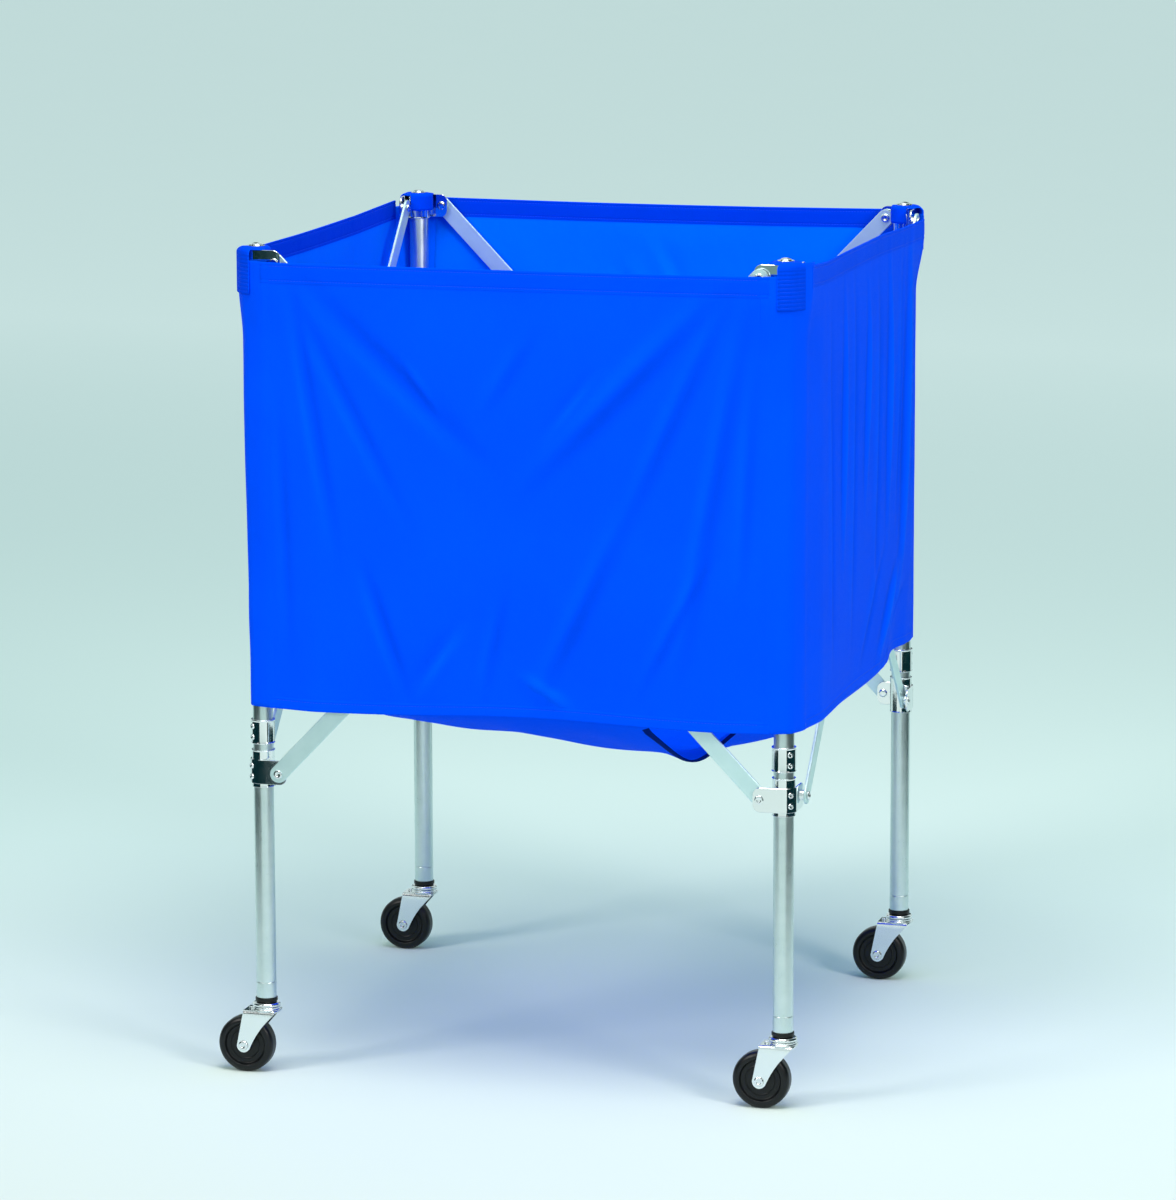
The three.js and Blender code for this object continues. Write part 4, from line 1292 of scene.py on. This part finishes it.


# The wall's grid is finer in its hems. The painted shade and light follow the upper hem and the folds.
def wallSheet(kind):
    top = wallTop[kind]
    lowEnd, highEnd = bagBottom + bag["lowHem"] + 2, top - bag["topHem"] - 2
    z = np.concatenate([
        np.linspace(bagBottom + bag["edgeIn"], lowEnd, 20)[:-1],
        np.linspace(lowEnd, highEnd, bag["up"]),
        np.linspace(highEnd, top - bag["edgeIn"], 30)[1:],
    ])
    s, z = np.meshgrid(np.linspace(-wallEnd, wallEnd, bag["across"]), z)
    thick = bag["thick"] / 2 + hemThickness(kind, z)
    hem = softStep(z, top - bag["topHem"] - 0.5, top - bag["topHem"] + 0.5)
    fold = foldHeight(s, (z - bagBottom) / (top - bagBottom), kind)
    outer, inner = (
        np.clip(plain + onHem * hem + onFold * fold, least, most)
        for plain, onHem, onFold, least, most in wallPaintedShades
    )
    return clothSheet(wallPoints(kind, s, z), thick, np.stack([s, z], axis=-1), outer, inner)


# A stitch is a small pillow of three rings of six points: sunk into the cloth, at its shoulder, and a smaller
# one on top, as shares of its rise and of its size.
stitch = {
    "length": 2.4, "width": 0.75, "rise": 0.35, "sunk": 0.25, "shoulder": 0.55, "crown": 0.45, "every": 3.4,
    "points": 6,
}
fineStitch = {"length": 1.9, "width": 0.5, "rise": 0.12, "every": 2.6}


# Stitches at centres, along their tangents, each raised along its normal.
def stitchRow(centres, tangents, normals, size=stitch):
    points, crown = stitch["points"], stitch["crown"]
    length, width, rise = size["length"], size["width"], size["rise"]
    side = np.cross(normals, tangents)
    around = np.linspace(0, 2 * pi, points, endpoint=False)
    up = normals[:, None, :]
    ring = (
        centres[:, None, :]
        + tangents[:, None, :] * (np.cos(around) * length / 2)[None, :, None]
        + side[:, None, :] * (np.sin(around) * width / 2)[None, :, None]
    )
    rings = np.concatenate([
        ring - up * stitch["sunk"],
        ring + up * rise * stitch["shoulder"],
        ring * crown + centres[:, None, :] * (1 - crown) + up * rise,
    ], axis=1)
    here = np.arange(points)
    ahead = (here + 1) % points
    quads = np.concatenate([
        np.stack([here, ahead, ahead + points, here + points], -1) + level for level in (0, points)
    ])
    caps = [(here + 2 * points)[None, :], here[None, ::-1]]
    shift = (np.arange(len(centres)) * 3 * points)[:, None, None]
    faces = [(block[None] + shift).reshape(-1, block.shape[1]) for block in (quads, *caps)]
    return rings.reshape(-1, 3), faces


# Stitches along a level line on a wall's outer or inner face.
def rowOnWall(kind, z, outside):
    end = wallEnd - bag["overlap"] - 2
    s = np.arange(-end, end, stitch["every"])
    ahead = wallPoints(kind, s + 0.5, np.full_like(s, z))
    behind = wallPoints(kind, s - 0.5, np.full_like(s, z))
    tangents = (ahead - behind) / np.linalg.norm(ahead - behind, axis=1)[:, None]
    normals = np.tile([0.0, -1.0 if outside else 1.0, 0.0], (len(s), 1))
    thick = bag["thick"] / 2 + hemThickness(kind, np.full_like(s, z))
    return stitchRow((ahead + behind) / 2 + normals * thick[:, None], tangents, normals)


def wallStitches(kind):
    return joinedShapes([rowOnWall(kind, z, outside) for z in stitchLines(kind) for outside in (True, False)])


for side, quarter in turnOf.items():
    leg = ridingLeg[side]
    shape, extra = wallSheet(side)
    wall = makePiece(
        f"bagWall_{side}", placed(shape, quarter), blueCloth, f"leg_{leg}", "bag_fabric", f"bag_wall_{side}",
        making["clothSharp"], **extra,
    )
    stitches = makePiece(
        f"wallStitches_{side}", placed(wallStitches(side), quarter), thread, f"leg_{leg}", "bag_fabric",
    )
    for piece in (wall, stitches):
        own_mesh(piece)
print("bag walls made")


# The bag's corners: a strip round each leg, and a strap that goes over the post and hangs inside.
strip = {
    "radius": 17.3, "proud": 0.12, "bendRun": 7.0, "bendShare": 0.45, "insetShare": 0.48, "waveShare": 0.6,
    "top": 16.0, "flareFrom": 70.0, "thinEdge": 0.06, "innerPaintedShade": 0.78, "edgeIn": 0.5,
}
strap = {
    "width": 34.0, "thick": 1.7, "tab": 50.0, "outside": 18.9, "inside": 14.6, "flap": 19.0, "bend": 5.5,
    "innerBend": 3.5, "droop": 1.6, "droopFrom": 8.0, "stitchEvery": 4.2, "lift": 1.6, "wrap": 14.0,
    "wrapShare": 0.75, "raised": 0.6,
}
strapTurn = {"front_left": radians(-14), "front_right": radians(-7), "back_right": 0.0, "back_left": 0.0}


# Along one wall, round the leg on a circle from its tangent with a soft start, and along the other wall.
def stripPath(radius, offset, reach):
    near = bag["reach"] - 2
    touch = atan2(-offset, near) - acos(radius / hypot(near, offset))
    arc = np.linspace(touch, -1.5 * pi - touch, 21)
    onArc = np.stack([radius * np.cos(arc), radius * np.sin(arc)], axis=-1)
    turning = np.array([near, -offset])
    middle = onArc[0] + (turning - onArc[0]) * strip["bendShare"]
    bend = cornerCurve(turning + (strip["bendRun"], 0), turning, middle, 12)
    start = np.linspace((reach, -offset), bend[0], 5)[:-1]
    slope = np.linspace(middle, onArc[0], 5)[1:-1]
    firstHalf = np.concatenate([start, bend, slope])
    return np.concatenate([firstHalf, onArc, firstHalf[::-1, ::-1]])


# The path of the strip at each height, with a slow wave. Its thickness runs out towards its edges, so that it
# lies flush on the walls.
def stripSheet(corner):
    lean = corners.index(corner)
    low, high, flare = bagBottom + strip["edgeIn"], strapTop - strip["top"], strapTop - strip["flareFrom"]
    z = np.concatenate([np.linspace(low, flare, 90), np.linspace(flare + 2, high, 30)])
    reach = bag["reach"] + bag["overlap"]
    rows = []
    for height in z:
        wave = 0.5 * sin(height / 31 + lean) + 0.3 * sin(height / 13 + 2 * lean)
        inset = insetAt(corner, height)
        radius = strip["radius"] + wave * strip["waveShare"] - strip["insetShare"] * inset
        rows.append(stripPath(radius, bag["offset"] + bag["thick"] / 2 + strip["proud"] - inset, reach))
    path = np.stack(rows)
    length = lengthsAlong(path[0])
    ownLift, lastLift = edgeLift[sides[lean]][0], edgeLift[sides[lean - 1]][2]
    lift = ownLift + (lastLift - ownLift) * softStep(length / length[-1], 0.35, 0.65)
    tall = np.clip((z - bagBottom) / (high - bagBottom), 0, 1)[:, None] ** 3
    middle = np.concatenate([path, (z[:, None] + lift[None, :] * tall)[..., None]], axis=-1)
    uv = np.stack(np.meshgrid(length, z), axis=-1)
    inwards = np.minimum(length, length[-1] - length)
    thin = strip["thinEdge"]
    thick = thin + (bag["thick"] / 2 - thin) * softStep(inwards, 1, bag["overlap"] + 2)
    thick = np.broadcast_to(thick, path.shape[:2])
    # The inner face is painted lighter than the outer: painted light, as on the walls.
    sheet = clothSheet(middle[:, ::-1], thick[:, ::-1], uv[:, ::-1], 0.5, strip["innerPaintedShade"])
    return sheet, length[-1], z[-1] - z[0]


# In the leg's diagonal plane: up the outside, round a bend, over the top, round a bend and down inside.
def strapPath():
    top = strapTop - strap["thick"] / 2 + strap["raised"]
    outside, inside, bend, inner = strap["outside"], -strap["inside"], strap["bend"], strap["innerBend"]
    a = np.linspace(0, pi / 2, 12)
    rise = np.linspace(strapTop - strap["tab"], top, 30)[:-1]
    rise = rise[rise < top - bend]
    over = np.linspace(outside - bend - 2, inside + inner + 1, 14)
    fall = np.linspace(top - inner - 2, strapTop - strap["flap"], 8)
    d = (
        outside + 0 * rise, outside - bend + bend * np.cos(a), over,
        inside + inner - inner * np.sin(a), inside + 0 * fall,
    )
    z = (rise, top - bend + bend * np.sin(a), top + 0 * over, top - inner + inner * np.cos(a), fall)
    return np.stack([np.concatenate(d), np.concatenate(z)], axis=-1)


# Points at u along the strip's path, lifted off it, counted from the strap's middle.
def tabPath(u, turn):
    radius = strip["radius"] + strap["lift"]
    line = stripPath(radius, bag["offset"] + bag["thick"] / 2 + strap["lift"], bag["reach"] + bag["overlap"])
    length = lengthsAlong(line)
    at = length[-1] / 2 + u - turn * radius
    return np.stack([np.interp(at, length, line[:, 0]), np.interp(at, length, line[:, 1])], axis=-1)


# Outside, the strap lies on the strip's path. On the top it is flat, and its edges droop. Inside, it wraps
# round the post: (wrap sin(u / wrap), d - wrap (1 - cos(u / wrap))).
def strapPoints(u, path, turn):
    d, z = path[:, 0:1], path[:, 1:2]
    wrap = strap["wrap"]
    facing = -0.75 * pi + turn
    ahead = np.array([cos(facing), sin(facing)])
    aside = np.array([sin(facing), -cos(facing)])
    fromEdge = softStep(d, 2.0, strap["outside"] - 1)[..., None]
    fromPost = (softStep(-d, 4.0, strap["inside"] - 0.5) * strap["wrapShare"])[..., None]
    flat = (d + 0 * u)[..., None] * ahead + (u + 0 * d)[..., None] * aside
    onStrip = tabPath(u + 0 * d, turn) * (d / strap["outside"])[..., None]
    postAlong = -(np.abs(d) - wrap * (1 - np.cos(u / wrap)))
    postAcross = wrap * np.sin(u / wrap) + 0 * d
    onPost = postAlong[..., None] * ahead + postAcross[..., None] * aside
    level = flat + (onStrip - flat) * fromEdge
    level = level + (onPost - level) * fromPost
    top = softStep(z, strapTop - 12, strapTop - 1) * (1 - fromPost[..., 0])
    droop = strap["droop"] * softStep(np.abs(u), strap["droopFrom"], strap["width"] / 2 + 3) * top
    return np.concatenate([level, (z - droop + 0 * u)[..., None]], axis=-1)


# The ribs of the webbing show on the tab only: V stands still from the bend on. The tab's outer face is
# painted a little lighter and its lower end darker, a painted shadow; its inner face is painted darker,
# painted shade.
def strapSheet(turn):
    path = strapPath()
    length = lengthsAlong(path)
    u = np.linspace(-strap["width"] / 2, strap["width"] / 2, 33)
    uv = np.stack(np.meshgrid(u, np.minimum(length, strap["tab"] - strap["bend"])), axis=-1)
    end = softStep(length, 1.5, 3.0)[:, None]
    middle = strapPoints(u[None, :], path, turn)
    return clothSheet(middle, strap["thick"] / 2, uv, 0.3 + 0.3 * end, 0.3), length[-1]


# Level rows of stitches that sew the tab to the corner.
def strapStitches(turn):
    u = np.arange(-strap["width"] / 2 + 2.5, strap["width"] / 2 - 2, fineStitch["every"])
    place = tabPath(u, turn)
    tangent = tabPath(u + 0.5, turn) - tabPath(u - 0.5, turn)
    tangent /= np.linalg.norm(tangent, axis=1, keepdims=True)
    out = np.stack([-tangent[:, 1], tangent[:, 0]], axis=-1)
    out *= np.sign(np.sum(out * place, axis=1, keepdims=True))
    level = np.zeros((len(u), 1))
    along, normals = np.concatenate([tangent, level], axis=1), np.concatenate([out, level], axis=1)
    return joinedShapes([
        stitchRow(
            np.concatenate([place + out * strap["thick"] / 2, level + height], axis=1),
            along, normals, fineStitch,
        )
        for height in np.arange(strapTop - strap["tab"] + 3.0, strapTop - strip["top"], strap["stitchEvery"])
    ])


for corner in corners:
    body, turn = f"leg_{corner}", strapTurn[corner]
    (shape, extra), wide, tall = stripSheet(corner)
    cornerStrip = makePiece(
        f"bagCorner_{corner}", onLeg(shape, corner), blueCloth, body, "bag_fabric", f"bag_corner_{corner}",
        making["clothSharp"], **extra,
    )
    (shape, extra), length = strapSheet(turn)
    strapPiece = makePiece(
        f"cornerStrap_{corner}", onLeg(shape, corner), webbing, body, "bag_fabric",
        sharp=making["clothSharp"], **extra,
    )
    sewing = makePiece(
        f"strapStitches_{corner}", onLeg(strapStitches(turn), corner), thread, body, "bag_fabric",
    )
print("bag corners made")


# The bottom hangs between the hems in two halves. Its corners are cut off and bound with tape. share is the
# part of the sag at the left, and what is added towards the middle and towards the right. tight takes sag
# from the left cut edge. slack and raised are (across, back, width, height) of a place at the right one that
# hangs lower and of one that lies higher. tapeAim is the share of the width that the tape is tilted towards.
bottom = {
    "reach": half + 23.4, "seam": 150.0, "sag": 87.0, "power": 0.7, "rise": 1.5, "thick": 1.1, "keep": 0.338,
    "columns": 170, "rows": 90, "gather": 1.15, "tape": 9.0, "tapeThick": 2.4, "tapePower": 0.6,
    "tapeOver": 1.2, "share": (0.45, 0.17, 0.38), "tight": 0.6, "tightRun": 40,
    "slack": (192, -281, 37, 21.0), "raised": (250, -218, 42, 24.0), "extraLength": 1.07,
    "paintedShades": (0.7, 0.5), "tapePoints": 16, "tapeSteps": 60, "tapeAim": 0.985,
}


# height * exp(-(distance / width)^2) round a place.
def bell(x, y, place):
    acrossAt, backAt, width, height = place
    return height * np.exp(-((x - acrossAt) ** 2 + (y - backAt) ** 2) / width ** 2)


# How far the bottom's edge is drawn in from its reach to meet the inside of a wall's hem, and its lift.
def hemInside(kind, s):
    out, rise = wallSurface(kind, s, np.full_like(s, bagBottom))
    return bottom["reach"] - (half + out - bag["thick"] / 2 - gap), rise


# a runs from -1 to 1 across the half's width at y. The fall is sag * ((1-(x/R)^2)(1-(y/R)^2))^power, less
# towards the left, where the cut edges are tight, and more at the slack end of the right one. Small creases
# lie over it, and the edges follow the pulled-in hems. toRight and toBack are the same for both halves.
def bottomPoints(a, y, turn):
    reach = bottom["reach"]
    wide = np.minimum(reach, bottom["seam"] + y + reach)
    x = a * wide
    flip = 1 if turn == 0 else -1
    toRight, toBack = x * flip, y * flip
    own, low, high = ("front", "left", "right") if turn == 0 else ("back", "right", "left")
    pull, rise = hemInside(own, x)
    lowPull, lowRise = hemInside(low, -y)
    highPull, highRise = hemInside(high, y)
    sidePull, sideRise = np.where(x < 0, lowPull, highPull), np.where(x < 0, lowRise, highRise)
    nearEdge = np.clip(-y / reach, 0, 1) ** 8
    sideEdge = np.clip(np.abs(x) / reach, 0, 1) ** 8
    crease = 1.8 * np.sin(toRight / 23 + toBack / 61) * np.sin(toBack / 37 - toRight / 90)
    crease = crease + 1.3 * np.sin((toRight - toBack) / 17 + 1.3 * np.sin(toBack / 40))
    least, towardsMiddle, towardsRight = bottom["share"]
    share = least + towardsMiddle * softStep(toRight, -reach, 60) + towardsRight * softStep(toRight, -60, 190)
    fromCut = np.exp(-((wide - np.abs(x)) / bottom["tightRun"]) ** 2)
    tight = 1 - bottom["tight"] * fromCut * softStep(-toRight, 60, 150)
    fall = np.maximum((1 - (x / reach) ** 2) * (1 - (y / reach) ** 2), 0)
    drop = bottom["sag"] * share * tight * fall ** bottom["power"]
    drop = drop + bell(toRight, y, bottom["slack"]) - bell(toRight, y, bottom["raised"])
    z = bagBottom + bottom["rise"] - np.maximum(drop, 0) + crease * softStep(fall, 0.02, 0.3)
    z = z + rise * nearEdge + sideRise * sideEdge
    return np.stack([x - np.sign(x) * sidePull * sideEdge, y + pull * nearEdge, z], axis=-1)


def bottomSheet(turn):
    reach = bottom["reach"]
    y = -reach + (reach - gap / 2) * np.linspace(0, 1, bottom["rows"]) ** bottom["gather"]
    a, y = np.meshgrid(np.linspace(-1, 1, bottom["columns"]), y)
    middle = bottomPoints(a, y, turn)
    # The upper face, inside the bag, is painted lighter than the underside: painted light.
    return clothSheet(middle, bottom["thick"] / 2, middle[..., :2], *bottom["paintedShades"])


# A flat oval carried along each cut edge, tilted with the cloth: (|cos t|^p, |sin t|^p) with their signs.
def bottomTape(turn):
    t = np.linspace(0, 2 * pi, bottom["tapePoints"], endpoint=False)
    circle = np.stack([np.cos(t), np.sin(t)], axis=-1)
    oval = np.sign(circle) * np.abs(circle) ** bottom["tapePower"]
    wide, thick = bottom["tape"] / 2, bottom["tapeThick"] / 2
    section = oval * (wide, thick) + (wide - bottom["tapeOver"], 0)
    y = np.linspace(-bottom["reach"], -bottom["seam"], bottom["tapeSteps"])
    shapes = []
    for sign in (-1.0, 1.0):
        edge = bottomPoints(np.full_like(y, sign), y, turn)
        inside = bottomPoints(np.full_like(y, sign * bottom["tapeAim"]), y, turn)
        along = np.gradient(edge, axis=0)
        along /= np.linalg.norm(along, axis=1, keepdims=True)
        inward = inside - edge
        inward -= along * np.sum(inward * along, axis=1, keepdims=True)
        inward /= np.linalg.norm(inward, axis=1, keepdims=True)
        sections = np.broadcast_to(section, (len(y), *section.shape))
        shapes.append(swept(edge, inward, np.cross(along, inward), sections))
    return joinedShapes(shapes)


for side in ("front", "back"):
    quarter, body = turnOf[side], f"bag_bottom_{side}"
    shape, extra = bottomSheet(quarter)
    base = makePiece(
        f"bagBottom_{side}", placed(shape, quarter), blueCloth, body, "bag_bottom_fabric", body,
        making["clothSharp"], **extra,
    )
    tape = makePiece(
        f"bottomTape_{side}", placed(bottomTape(quarter), quarter), shadedNavyTape, body, "bag_bottom_fabric",
    )
    for piece in (base, tape):
        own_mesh(piece)
print("bag bottom made")
